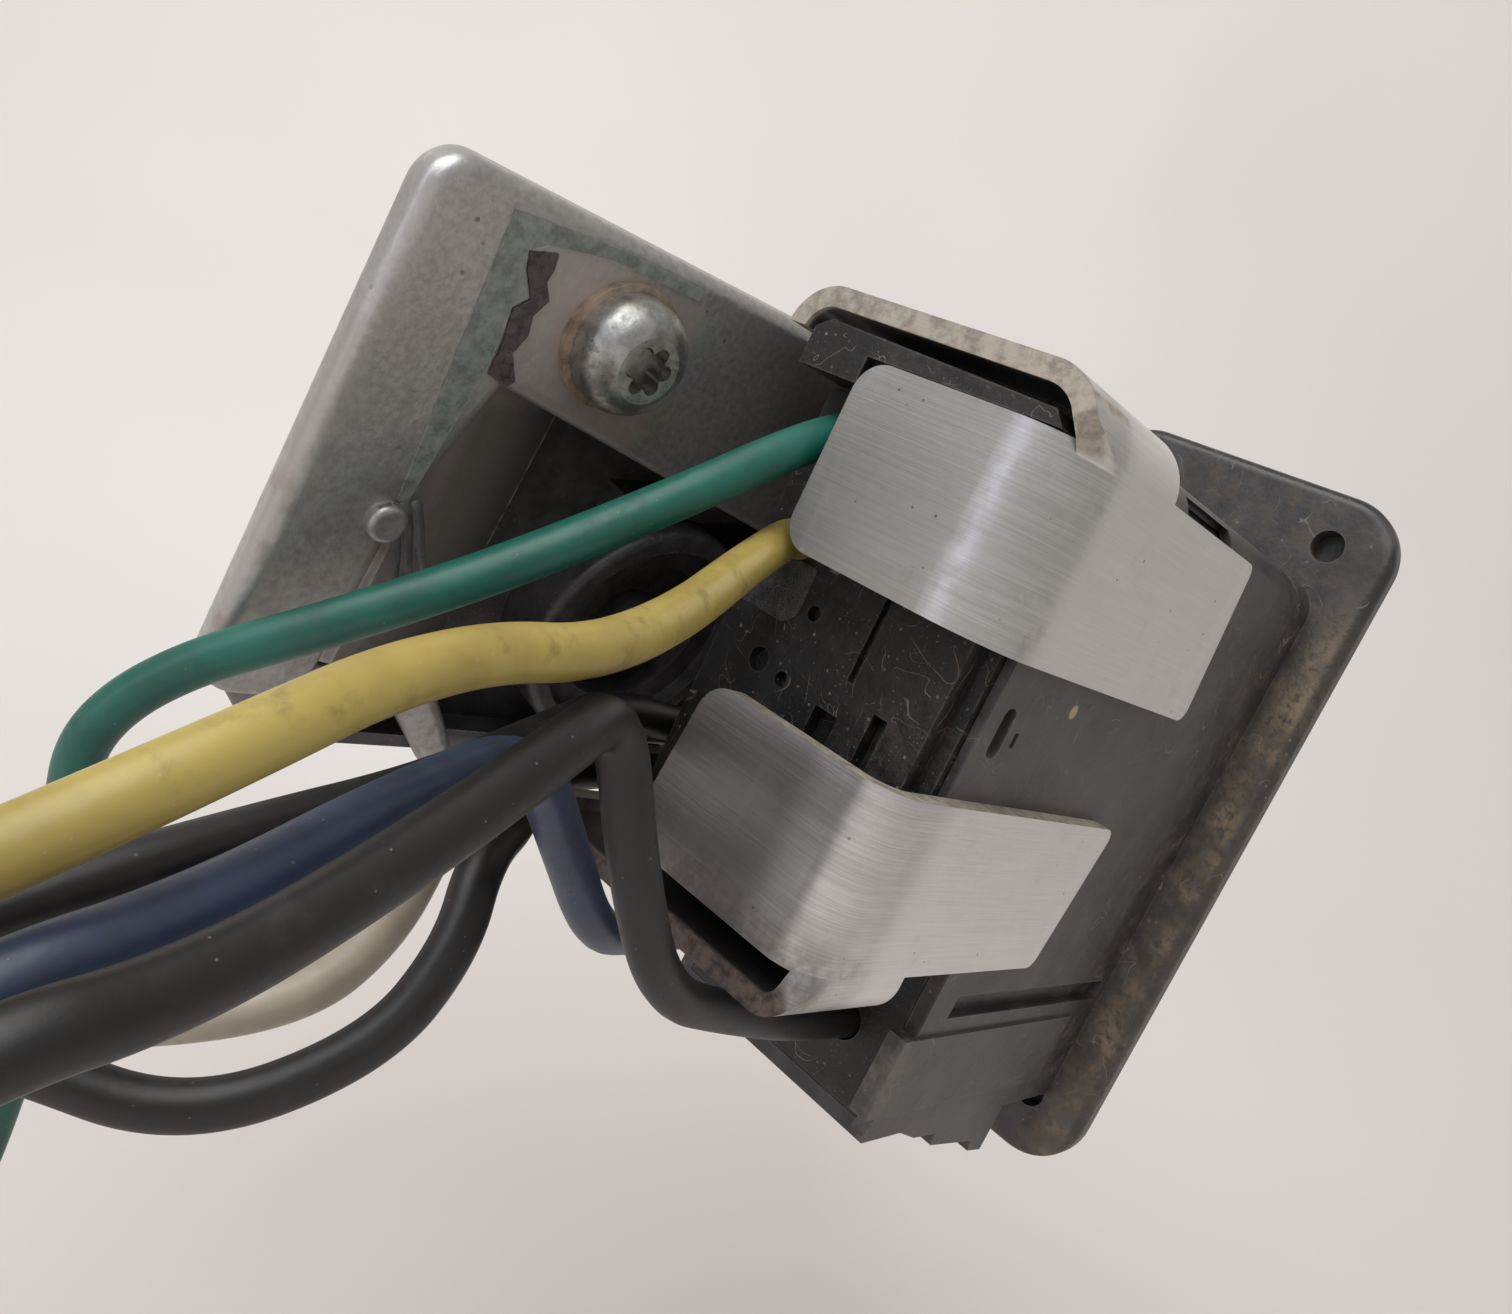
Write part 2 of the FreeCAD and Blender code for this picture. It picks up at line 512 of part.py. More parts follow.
def make_clip(sizes):
    """Upper clip: lip over the back, tab along the side, wing folded over the top."""
    inside = sleeve_out
    outside = inside + clip_t
    face = -sizes["face"]
    lip_low, lip_high = module_z + sizes["lip"][0], module_z + sizes["lip"][1]
    leg_low = module_z + sizes["leg"]
    wing_low = body_top
    wing_high = wing_low + clip_t
    wing_front = -sizes["wing_front"]

    # Sheet bent round a vertical edge: along the back, then forward along the side
    tab_end = -min(sizes["tab_front"])
    outer = box(min(sizes["end"]), outside, face, tab_end, lip_low, lip_high)
    corner = [e for e in edges_along(outer, Z_AXIS)
              if e.Vertexes[0].X > outside - 0.01 and e.Vertexes[0].Y < face + 0.01]
    outer = outer.makeFillet(sizes["bend_r"], corner)
    inner = box(min(sizes["end"]) - 1, inside, face + clip_t, tab_end + 1, lip_low - 1, lip_high + 1)
    corner = [e for e in edges_along(inner, Z_AXIS)
              if e.Vertexes[0].X > inside - 0.01 and e.Vertexes[0].Y < face + clip_t + 0.01]
    lip = outer.cut(inner.makeFillet(sizes["bend_r"] - clip_t, corner))
    lip_trim = prism_y([(sizes["end"][0], lip_low), (outside + 1, lip_low), (outside + 1, lip_high),
                        (sizes["end"][1], lip_high)], face - 1, 0)
    corners = [e for e in edges_along(lip_trim, Y_AXIS) if e.Vertexes[0].X < 0]
    tab_trim = prism_x([(face - 1, lip_low), (-sizes["tab_front"][0], lip_low),
                        (-sizes["tab_front"][1], lip_high), (face - 1, lip_high)], -30, 30)
    tips = [e for e in edges_along(tab_trim, X_AXIS) if e.Vertexes[0].Y > face]
    lip = lip.common(lip_trim.makeFillet(clip_corner_r, corners))
    lip = lip.common(tab_trim.makeFillet(clip_tab_corner_r, tips))

    # Leg up the side, fold over the top and return down the left, all of one profile
    fold = box(clip_wing_end, outside, face, wing_front, leg_low, wing_high)
    for x, radius in ((outside, sizes["fold_r"]), (clip_wing_end, clip_hook_r)):
        fold = fold.makeFillet(radius, [e for e in edges_along(fold, Y_AXIS)
                                        if e.Vertexes[0].Z > wing_high - 0.01
                                        and abs(e.Vertexes[0].X - x) < 0.01])
    # The leg's rear corner grows out of the lip's bend
    plans = [(leg_low, sizes["bend_r"] + 0.1), (leg_low + clip_corner_run, clip_corner_edge),
             (wing_high + 1, clip_corner_edge)]
    fold = fold.common(Part.makeLoft([rounded_plan(z, clip_wing_end - 1, outside, face, wing_front + 1, r)
                                      for z, r in plans], True, True))
    hollow_left = clip_wing_end + clip_t
    hollow = box(hollow_left, inside, face - 1, wing_front + 1, leg_low - 1, wing_low)
    for x, radius in ((inside, sizes["fold_r"] - clip_t), (hollow_left, clip_hook_r - clip_t)):
        hollow = hollow.makeFillet(radius, [e for e in edges_along(hollow, Y_AXIS)
                                            if e.Vertexes[0].Z > wing_low - 0.01
                                            and abs(e.Vertexes[0].X - x) < 0.01])
    below_hook = box(clip_wing_end - 1, clip_wing_end + clip_hook_r, face - 1, 0,
                     leg_low - 1, wing_high - clip_hook_drop)
    return lip.fuse(fold.cut([hollow, below_hook])).removeSplitter()


def make_clips():
    keep("upper_clip", make_clip(UPPER_CLIP))
    keep("lower_clip", mirror_z(make_clip(LOWER_CLIP), module_z))


def make_side_plate():
    """Sheet beside the module, opened for the moulding behind it, with an arm to the sleeve."""
    top, step = 0.0, plate_h_front - plate_h
    outline = [(0, top), (plate_len, top), (plate_len, -plate_h_front), (18.0, -plate_h_front),
               (18.0 - step, -plate_h), (0, -plate_h)]
    sheet = prism_z(outline, -plate_t, 0)
    rear = [e for e in edges_along(sheet, Z_AXIS) if e.Vertexes[0].X < 0.01]
    sheet = sheet.makeFillet(plate_corner_r, rear)
    sheet = sheet.makeFillet(plate_edge_r, edges_at_z(sheet, 0.0))
    hole = prism_z(window_outline, -plate_t - 1, 1)
    sheet = sheet.cut(hole)
    rim = [e for e in edges_at_z(sheet, 0.0) if e.BoundBox.XMin > 6.0 and e.BoundBox.YMax < -10.0
           and e.BoundBox.XMax < 41.0 and e.BoundBox.YMin > -36.0]
    sheet = sheet.makeFillet(0.9, rim)
    x0 = window_outline[-1][0]
    ramp = Part.Face(Part.makePolygon([V(x0 - 1.2, 0, -0.9), V(x0 + 0.4, 0, -0.5),
                                       V(x0 + ramp_run + 1.5, 0, -ramp_depth),
                                       V(x0 + ramp_run + 1.5, 0, -ramp_depth - 0.9),
                                       V(x0 - 0.4, 0, -plate_t),
                                       V(x0 - 1.2, 0, -plate_t), V(x0 - 1.2, 0, -0.9)]))
    ramp = ramp.extrude(V(0, ramp_bottom - ramp_top, 0))
    ramp.translate(V(0, ramp_top, 0))
    shank = rod_z(earth_x, earth_y, earth_shank_r + 0.1, -5, 1)
    rivets = [rod_z(x, y, 1.2 + pin_gap, -plate_t - 1, 1) for x, y in block_rivets()]
    sheet = on_plate(sheet.fuse(ramp).cut([shank] + rivets))
    x_pad = -sleeve_out - 0.02
    end = [on_plate(Part.Vertex(V(plate_len - 4.0, y, z))).Point
           for y, z in ((-2.0, 0), (-12.0, 0), (-12.0, -plate_t), (-2.0, -plate_t))]
    pad_end = [V(x_pad, arm_y[0] + 1, arm_z[1]), V(x_pad, arm_y[0] + 1, arm_z[0]),
               V(x_pad - arm_t, arm_y[0] + 1, arm_z[0]), V(x_pad - arm_t, arm_y[0] + 1, arm_z[1])]
    joggle = Part.makeLoft([Part.makePolygon(end + end[:1]), Part.makePolygon(pad_end + pad_end[:1])],
                           True, True)
    pad = box(x_pad - arm_t, x_pad, arm_y[0], arm_y[1], arm_z[0], arm_z[1])
    front = [e for e in edges_along(pad, X_AXIS) if e.Vertexes[0].Y > arm_y[1] - 0.01]
    pad = pad.makeFillet(2.5, front)
    plate = sheet.fuse([joggle, pad])
    bores = [rod_x(y, z, plate_screw_r + pin_gap, x_pad - 4, x_pad + 1) for y, z in arm_screws()]
    keep("side_plate", plate.cut(bores).removeSplitter())
    screws = []
    for y, z in arm_screws():
        head = rod_x(y, z, 2.0, x_pad - arm_t - 1.3, x_pad - arm_t)
        head = head.cut(box(x_pad - 6, x_pad - arm_t - 0.7, y - 0.3, y + 0.3, z - 3, z + 3))
        shank = rod_x(y, z, plate_screw_r, x_pad - arm_t, -body_half + body_wall - 0.2)
        screws.append(head.fuse(shank).removeSplitter())
    keep("plate_screws", group(screws))


def block_rivets():
    """Rivets that hold the moulding behind the plate, in the plate's own axes."""
    return [(44.0, -17.0), (44.0, -33.5)]


def make_window_block():
    back = -plate_t - 0.02
    block = box(5.0, 46.0, -37.4, ramp_top + 1.0, -block_depth, back)
    block = block.makeFillet(1.5, edges_along(block, Z_AXIS))
    room = prism_z([(6.4, ramp_top + 0.05), (17.4, ramp_top + 0.05), (18.6, -12.2), (41.5, -14.0),
                    (41.5, -36.4), (6.4, -36.4)], -ramp_depth - 1.0, 0)
    block = block.cut(room)
    seat = rod_z(plug_x, plug_y, plug_r + 0.1, -block_depth + 2.0, 0)
    ledge = prism_z([(24.0, -15.6), (36.0, -13.2), (36.0, -15.0), (24.0, -17.6)],
                    -ramp_depth - 1.5, back - 0.6)
    block = block.fuse(ledge).cut([seat] + [rod_z(x, y, 1.2 + pin_gap, -20, 1)
                                            for x, y in block_rivets()])
    keep("window_block", on_plate(block.removeSplitter()))
    plug = rod_z(plug_x, plug_y, plug_r, -block_depth + 2.0, -0.4)
    plug = plug.makeFillet(0.7, edges_at_z(plug, -0.4))
    plug = plug.cut([rod_z(plug_x, plug_y, plug_r - 1.5, -1.6, 1),
                     rod_z(plug_x, plug_y, plug_r - 3.4, -3.2, 1)])
    plug = plug.fuse(rod_z(plug_x, plug_y, plug_r - 6.4, -4.0, -1.2))
    keep("window_plug", on_plate(plug.removeSplitter()))
    rivets = []
    for x, y in block_rivets():
        head = rod_z(x, y, 2.0, 0, 0.8)
        head = head.makeFillet(0.5, edges_at_z(head, 0.8))
        tail = rod_z(x, y, 1.9, -block_depth - 0.7, -block_depth)
        rivets.append(head.fuse([rod_z(x, y, 1.2, -block_depth, 0), tail]).removeSplitter())
    keep("block_rivets", group([on_plate(r) for r in rivets]))


def make_earth():
    """Pan-head earth screw with its washer and nut."""
    washer = rod_z(earth_x, earth_y, earth_washer_r, 0, earth_washer_t)
    washer = washer.cut(rod_z(earth_x, earth_y, earth_shank_r + 0.1, -1, 2))
    keep("earth_washer", on_plate(washer))
    seat = earth_washer_t
    crown = seat + earth_head_h
    flat = earth_head_r * 0.58
    shoulder = seat + 0.8
    start, end = V(flat, 0, crown), V(earth_head_r, 0, shoulder)
    middle = V(flat + (earth_head_r - flat) * 0.72, 0, shoulder + (crown - shoulder) * 0.68)
    profile = Part.Wire([Part.makeLine(V(0, 0, seat), V(0, 0, crown)),
                         Part.makeLine(V(0, 0, crown), start),
                         Part.Arc(start, middle, end).toShape(),
                         Part.makeLine(end, V(earth_head_r, 0, seat)),
                         Part.makeLine(V(earth_head_r, 0, seat), V(0, 0, seat))])
    head = Part.Face(profile).revolve(V(0, 0, 0), Z_AXIS, 360)
    recess = rod_z(0, 0, earth_lobe_ring, crown - 1.5, crown + 1)
    lobes = []
    for k in range(6):
        a = math.radians(60 * k + 12)
        lobes.append(rod_z(earth_lobe_ring * math.cos(a), earth_lobe_ring * math.sin(a),
                           earth_lobe_r, crown - 1.5, crown + 1))
    head = head.cut(recess.fuse(lobes))
    head.translate(V(earth_x, earth_y, 0))
    shank = rod_z(earth_x, earth_y, earth_shank_r, -plate_t - 4.5, seat)
    keep("earth_screw", on_plate(head.fuse(shank).removeSplitter()))
    flats = [(earth_x + 3.46 * math.cos(math.radians(60 * k)),
              earth_y + 3.46 * math.sin(math.radians(60 * k))) for k in range(6)]
    nut = prism_z(flats, -plate_t - 2.8, -plate_t)
    keep("earth_nut", on_plate(nut.cut(rod_z(earth_x, earth_y, earth_shank_r + pin_gap, -9, 0))))


def make_trim():
    liner = prism_z([(5.0, -1.4), (12.1, -0.8), (18.8, -0.8), (18.8, -1.5), (12.0, -1.5), (7.6, -2.3),
                     (6.7, -3.0), (7.0, -4.0), (8.0, -5.3), (7.3, -6.1), (7.6, -7.9), (7.7, -10.0),
                     (6.9, -19.0), (6.3, -18.6), (5.7, -10.7)], 0, label_t)
    keep("label_liner", on_plate(liner))
    strip = prism_z([(6.8, -3.0), (8.5, -2.5), (8.7, -3.4), (8.6, -4.1), (9.3, -5.0), (8.8, -6.1),
                     (9.1, -7.2), (8.7, -8.4), (9.7, -9.9), (9.3, -10.4), (7.9, -10.0), (7.8, -7.9),
                     (7.45, -6.1), (8.2, -5.3), (7.2, -4.0)], 0, label_t)
    keep("adhesive_strip", on_plate(strip))
    nub = rod_z(nub_x, nub_y, nub_r, 0, 0.9)
    keep("locating_rivet", on_plate(nub.makeFillet(0.4, edges_at_z(nub, 0.9))))
    back = -cover_back
    film = box(-9.2, -3.9, back - film_t, back, 4.4, 8.4)
    corner = [e for e in edges_along(film, Y_AXIS)
              if e.Vertexes[0].X > -4 and e.Vertexes[0].Z < 5]
    keep("insulation_film", film.makeFillet(1.2, corner))


def make_lid():
    lid = box(-lid_half_w, lid_half_w, lid_y, lid_y + lid_t, lid_bottom, lid_top)
    lid = lid.makeFillet(2.0, edges_along(lid, Y_AXIS))
    lid = lid.makeFillet(0.6, edges_at_y(lid, lid_y + lid_t))
    neck = box(-knuckle_half, knuckle_half, lid_y, lid_y + lid_t, lid_top - 1, lid_axis_z)
    knuckle = rod_x(lid_axis_y, lid_axis_z, knuckle_r, -knuckle_half, knuckle_half)
    grip = box(-5, 5, lid_y + lid_t - 1, lid_y + lid_t + 1.2, lid_bottom + 1.0, lid_bottom + 2.6)
    lid = lid.fuse([neck, knuckle, grip])
    coil_room = rod_x(lid_axis_y, lid_axis_z, knuckle_r + 0.5, -2.2, 2.2)
    bore = rod_x(lid_axis_y, lid_axis_z, lid_pin_r + pin_gap, -10, 10)
    keep("inlet_lid", lid.cut([coil_room, bore]).removeSplitter())
    reach = knuckle_half + lid_ear_gap + lid_ear_t
    keep("lid_pin", rod_x(lid_axis_y, lid_axis_z, lid_pin_r, -reach, reach))
    keep("lid_spring", coil(V(-2.0, lid_axis_y, lid_axis_z), X_AXIS, lid_spring_r, 0.25, 4.0, 6))
    gasket = prism_y(inlet_outline(1.2), flange_t + 0.1, lid_y)
    keep("lid_gasket", gasket.cut(prism_y(inlet_outline(0.2), 0, 9)))


def make_side_terminals():
    """Terminal strip in the gap beside the sleeve, for the three side leads."""
    x1 = -(sleeve_out + strip_gap)
    x0 = x1 - strip_w
    strip = box(x0, x1, strip_y[0], strip_y[1], strip_z[0], strip_z[1])
    strip = strip.makeFillet(0.8, [e for e in strip.Edges if e.BoundBox.XMax < x0 + 0.01])
    names = ("lead_black_loop", "lead_white", "lead_black_top")
    holes, screws = [], []
    for name in names:
        x, y, z = ROUTES[name][0]
        holes.append(rod_y(x, z, lead_hole_r, strip_y[0] - 1, y))
    keep("side_terminal_strip", strip.cut(holes))
    for z in (-6.2, -11.0):
        head = rod_x(strip_y[1] - 2.4, z, 1.5, x0 - 0.6, x0)
        screws.append(head.cut(box(x0 - 1, x0 - 0.3, -40, -10, z - 0.2, z + 0.2)))
    keep("side_terminal_screws", group(screws))


def make_leads():
    cores = []
    for name in ROUTES:
        tube, core = lead(name)
        keep(name, tube)
        cores.append(core)
    keep("lead_ends", group(cores))


def main():
    os.makedirs("parts", exist_ok=True)
    make_bezel_frame()
    make_module_body()
    make_module_back_cover()
    make_inlet_pins()
    make_breaker()
    make_clips()
    make_side_plate()
    make_window_block()
    make_earth()
    make_trim()
    make_lid()
    make_side_terminals()
    make_leads()
    for name, shape in NODES.items():
        if not shape.isValid():
            print("not valid:", name)
        print("%-22s %d solid(s) %9.1f mm3" % (name, len(shape.Solids), shape.Volume))
        shape.exportStep("parts/%s.step" % name)


main()
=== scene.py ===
import math

import bpy
import bmesh
from mathutils import Matrix, Vector


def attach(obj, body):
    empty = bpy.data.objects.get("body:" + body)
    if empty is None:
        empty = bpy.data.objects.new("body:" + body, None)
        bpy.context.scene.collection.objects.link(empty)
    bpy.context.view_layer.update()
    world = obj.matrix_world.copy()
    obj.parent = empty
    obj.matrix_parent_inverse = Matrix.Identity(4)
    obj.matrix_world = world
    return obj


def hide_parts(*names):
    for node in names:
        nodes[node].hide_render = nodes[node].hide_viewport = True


# Looks for the rear-wired power inlet. +Y is the panel's front, -Y the back, +Z up.
# The frame's nodes keep their place. Leads, bare strands and film folds are made here.

MM = 0.001

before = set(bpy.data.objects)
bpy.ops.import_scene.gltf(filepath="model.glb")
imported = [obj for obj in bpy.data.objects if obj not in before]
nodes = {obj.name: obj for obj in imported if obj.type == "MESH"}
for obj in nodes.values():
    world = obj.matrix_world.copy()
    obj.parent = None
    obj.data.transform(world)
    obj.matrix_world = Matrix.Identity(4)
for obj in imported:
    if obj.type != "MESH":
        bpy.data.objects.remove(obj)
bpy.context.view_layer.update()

# ---- view ----
CAMERA_AT = Vector((42.55, -106.0, 12.85)) * MM
CAMERA_RIGHT = Vector((0.6721, 0.6035, 0.4265)).normalized()
CAMERA_UP = Vector((-0.4210, -0.1650, 0.8926)).normalized()
CAMERA_LENS = 29.05
SENSOR_WIDTH = 36.0
NEAREST = 0.002          # what the camera sees, in metres
FARTHEST = 20.0

# ---- leads ----
LEAD_D = 2.6 * MM
STRAND_R = 0.235 * MM
STRAND_COUNT = 7         # six laid round one
STRAND_TURNS = 1.2
STRAND_SPLAY = 0.12      # how much wider the bundle is at its tip
STRAND_STEPS = 14        # rings along a strand
STRAND_SIDES = 8
BARE_LENGTH = 7.0 * MM
BARE_SUNK = 0.5 * MM     # how far the strands start inside the insulation

# Routes in millimetres, from inside the housing to the bare end
ROUTES = {
    "lead_green": [(-6.2, -37.0, 16.8), (-6.2, -43.6, 16.8), (-6.3, -46.6, 16.6), (-7.2, -57.5, 7.4),
                   (-11.0, -66.5, -1.7), (-20.1, -76.6, -13.2), (-18.5, -75.5, -22.1),
                   (-16.8, -74.3, -37.1), (-16.6, -75.1, -49.6), (-16.7, -76.4, -62.7)],
    "lead_yellow": [(-6.2, -37.0, 9.9), (-6.2, -44.8, 9.9), (-6.3, -47.0, 8.7), (4.1, -65.5, 2.3),
                    (5.2, -76.2, 1.1), (8.9, -86.8, -3.6), (7.7, -95.4, -10.8), (4.5, -100.4, -22.1),
                    (2.2, -101.9, -35.5)],
    "lead_black_breaker": [(4.65, -26.2, -19.85), (4.65, -35.5, -19.85), (5.6, -46.6, -17.5),
                           (7.1, -55.6, -14.7), (6.6, -61.5, -7.7), (4.7, -65.4, 0.1), (7.5, -70.6, -1.6),
                           (10.2, -78.2, -5.6), (13.1, -86.1, -8.5), (14.1, -92.6, -9.7),
                           (11.3, -100.2, -19.4), (10.1, -102.8, -31.4)],
    "lead_black_loop": [(-13.5, -29.0, -10.3), (-13.5, -40.0, -10.3), (-12.9, -51.4, -11.8),
                        (-5.8, -57.7, -11.4), (-2.5, -62.4, -12.3), (0.3, -64.0, -16.1),
                        (1.2, -67.1, -21.3), (-1.9, -73.6, -27.0), (-7.2, -80.3, -26.3),
                        (-11.5, -86.1, -26.1), (-13.7, -90.1, -31.4), (-13.3, -91.1, -41.9)],
    "lead_white": [(-15.2, -29.0, -7.5), (-15.2, -40.0, -7.5), (-12.0, -50.8, -7.8), (-9.9, -58.8, -10.2),
                   (-6.4, -62.4, -13.7), (-4.6, -64.5, -18.3), (-5.1, -67.4, -22.9), (-9.4, -73.9, -26.9),
                   (-15.2, -80.6, -29.3), (-18.2, -85.3, -35.4), (-16.8, -85.8, -43.7)],
    "lead_blue": [(-4.55, -26.2, -18.0), (-4.55, -35.5, -18.0), (-3.5, -46.6, -18.0), (-0.2, -54.1, -15.5),
                  (0.8, -60.6, -9.4), (2.1, -66.9, -3.7), (5.8, -75.9, -5.4), (9.2, -84.6, -8.4),
                  (10.3, -91.1, -10.3), (8.3, -96.9, -17.9), (6.9, -99.7, -26.0), (6.0, -100.8, -38.0)],
    "lead_black_top": [(-12.2, -29.0, -6.5), (-12.2, -40.0, -6.5), (-9.7, -50.7, -4.9),
                       (-3.4, -61.2, -5.4), (2.1, -71.9, -6.6), (5.3, -81.8, -7.9), (5.3, -91.8, -12.2),
                       (1.7, -97.8, -22.2), (-0.6, -99.4, -35.7)],
}

LEAD_COLOUR = {
    "lead_green": "green",
    "lead_yellow": "yellow",
    "lead_black_breaker": "black",
    "lead_black_loop": "black",
    "lead_white": "white",
    "lead_blue": "blue",
    "lead_black_top": "black",
}

# ---- places that the finishes follow, in millimetres ----
RIGHT = (1, 0, 0)
FORWARD = (0, 1, 0)
UP = (0, 0, 1)

SLEEVE_FACE = 10.15      # X of the sleeve's right wall
FLANGE_EDGE = 14.2       # X of the bezel's right edge
FLANGE_TOP = 31.4        # Z of its top edge
UPPER_HOLE = (8.8, -2.0, 26.8)
WALL_CRUMB = (10.15, -32.5, 7.2)     # crumb stuck to the sleeve's right wall

# Where the clips' lips end in sheared edges, behind each Y, above the upper Z and below the lower one
UPPER_LIP_Y = -48.95
UPPER_LIP_Z = 21.2
LOWER_LIP_Y = -50.25
LOWER_LIP_Z = -11.5

PLATE_ORIGIN = Vector((-13.0, -73.8, 20.1))      # the side plate's top rear corner
PLATE_ALONG = Vector((0.0134, 0.9977, 0.0670))
PLATE_UP = Vector((0.1956, -0.0677, 0.9783))
PLATE_OUT = PLATE_ALONG.cross(PLATE_UP)

# ---- torn film round the plate's nub, in the plate's own millimetres ----
FOLD_COUNT = 3
FOLD_STEPS = 12          # cuts along a strip
FOLD_START = (5.4, -18.9)
FOLD_RUN = (3.6, -5.4)   # from a strip's root to its tip
FOLD_SPACING = (0.75, 0.35)
FOLD_SLANT = 0.6         # how far up a strip's width runs for each millimetre forward
FOLD_SWAY = 0.25
FOLD_LIFT = 0.45         # height above the plate at both ends
FOLD_CROWN = 0.5         # and how much more in the middle
FOLD_HALF = 0.34         # half the width at the root
FOLD_NARROWING = 0.55    # share of the width lost by the tip
FOLD_THICK = 0.08 * MM

# ---- board and lamps, in metres ----
BOARD_AWAY = Vector((-0.6155, 0.7881, 0.0))      # level, away from the camera
BOARD_ASIDE = Vector((0.7881, 0.6155, 0.0))
BOARD_FLOOR = -0.085     # height of the floor
BOARD_NEAR = -1.2        # its near edge, along BOARD_AWAY
BOARD_WALL = 0.42        # where the backdrop stands
BOARD_TOP = 1.6
BOARD_HALF = 1.8         # half its width
SWEEP_R = 0.30           # curve between the floor and the backdrop
SWEEP_STEPS = 16
SHADE_AT = (-20.0, -20.0, -85.0)     # painted shadow: a darker round patch under the object, in millimetres
SHADE_R = 30.0
SHADE_FADE = 190.0

LIT_POINT = Vector((0.0, -0.040, 0.0))           # the middle of the object
CAMERA_BACK = CAMERA_RIGHT.cross(CAMERA_UP)
LAMPS = [                # name, place from LIT_POINT, size, watts, colour
    ("key", CAMERA_UP * 0.55 - CAMERA_RIGHT * 0.05 + CAMERA_BACK * 0.30, (0.6, 0.45), 2.9, "#fffefb"),
    ("strip", Vector((0.30, -0.42, 0.46)), (0.14, 0.5), 1.0, "#eef3ff"),
    ("window", Vector((-0.10, -0.60, 0.22)), (0.05, 0.6), 0.6, "#e4eaff"),
]
ROOM_COLOUR = "#f6f3ef"
ROOM_STRENGTH = 0.5


# ---- camera ----
def make_camera():
    """Camera at the viewing angle, everything in focus."""
    data = bpy.data.cameras.new("camera")
    camera = bpy.data.objects.new("camera", data)
    bpy.context.scene.collection.objects.link(camera)
    turn = Matrix((CAMERA_RIGHT, CAMERA_UP, CAMERA_BACK)).transposed()
    camera.matrix_world = Matrix.Translation(CAMERA_AT) @ turn.to_4x4()
    data.lens = CAMERA_LENS
    data.sensor_width = SENSOR_WIDTH
    data.clip_start = NEAREST
    data.clip_end = FARTHEST
    bpy.context.scene.camera = camera


# ---- leads ----
def lead_curve(name, material):
    """One lead's insulation, on a smooth line through its route."""
    points = [Vector(p) * MM for p in ROUTES[name]]
    data = bpy.data.curves.new(name + "_sleeve", "CURVE")
    data.dimensions = "3D"
    spline = data.splines.new("NURBS")
    spline.points.add(len(points) - 1)
    for target, point in zip(spline.points, points):
        target.co = (*point, 1.0)
    spline.order_u = 3
    spline.use_endpoint_u = True
    spline.resolution_u = 24
    data.bevel_depth = LEAD_D / 2
    data.bevel_resolution = 8
    data.use_fill_caps = True
    data.materials.append(material)
    piece = bpy.data.objects.new(name + "_sleeve", data)
    bpy.context.scene.collection.objects.link(piece)
    return piece


def centre_line(piece):
    """Points along a curve's own line, and its length."""
    bare = piece.copy()
    bare.data = piece.data.copy()
    bare.data.bevel_depth = 0.0
    bare.data.use_fill_caps = False
    mesh = bpy.data.meshes.new_from_object(bare)
    points = [v.co.copy() for v in mesh.vertices]
    bpy.data.meshes.remove(mesh)
    bpy.data.objects.remove(bare)
    return points, sum((b - a).length for a, b in zip(points, points[1:]))


def tube_rings(work, centres, radius, sides):
    """Closed tube through a list of centres; each ring is square to the line there."""
    previous = None
    aside = (centres[1] - centres[0]).orthogonal().normalized()
    for i, centre in enumerate(centres):
        ahead = (centres[min(i + 1, len(centres) - 1)] - centres[max(i - 1, 0)]).normalized()
        aside = (aside - ahead * aside.dot(ahead)).normalized()
        over = ahead.cross(aside)
        ring = []
        for j in range(sides):
            a = 2 * math.pi * j / sides
            ring.append(work.verts.new(centre + (aside * math.cos(a) + over * math.sin(a)) * radius))
        if previous:
            for j in range(sides):
                k = (j + 1) % sides
                work.faces.new((previous[j], previous[k], ring[k], ring[j]))
        else:
            work.faces.new(list(reversed(ring)))
        previous = ring
    work.faces.new(previous)


def ribbon(work, pairs):
    """Strip of four-cornered faces through pairs of points."""
    rows = [[work.verts.new(point) for point in pair] for pair in pairs]
    for row, following in zip(rows, rows[1:]):
        work.faces.new((row[0], row[1], following[1], following[0]))


def mesh_piece(name, work, material):
    """Turn worked geometry into a smooth object."""
    mesh = bpy.data.meshes.new(name)
    work.to_mesh(mesh)
    work.free()
    for face in mesh.polygons:
        face.use_smooth = True
    mesh.materials.append(material)
    piece = bpy.data.objects.new(name, mesh)
    bpy.context.scene.collection.objects.link(piece)
    return piece


def bare_strands(name, start, direction, material):
    """Seven twisted strands that stand out of a lead's end, slightly splayed."""
    work = bmesh.new()
    side = direction.orthogonal().normalized()
    other = direction.cross(side)
    outer = STRAND_COUNT - 1
    for k in range(STRAND_COUNT):
        centres = []
        for i in range(STRAND_STEPS):
            t = i / (STRAND_STEPS - 1)
            spin = 2 * math.pi * (k / outer + STRAND_TURNS * t)
            reach = 0.0 if k == outer else STRAND_R * 2 * (1.0 + STRAND_SPLAY * t * t)
            across = side * math.cos(spin) + other * math.sin(spin)
            centres.append(start + direction * (BARE_LENGTH * t - BARE_SUNK) + across * reach)
        tube_rings(work, centres, STRAND_R, STRAND_SIDES)
    return mesh_piece(name + "_strands", work, material)


def make_leads(finishes):
    """Every lead with its bare end; each lead's frame node is hidden, and so is the node that holds all seven
    ends.
    """
    for index, (name, tint) in enumerate(LEAD_COLOUR.items()):
        piece = lead_curve(name, finishes[tint + "_pvc"])
        line, length = centre_line(piece)
        end = (line[-1] - line[-2]).normalized()
        strands = bare_strands(name, line[-1], end, finishes["bare_copper"])
        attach(piece, "root")
        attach(strands, "root")
        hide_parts(name)
        if index == 0:
            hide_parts("lead_ends")


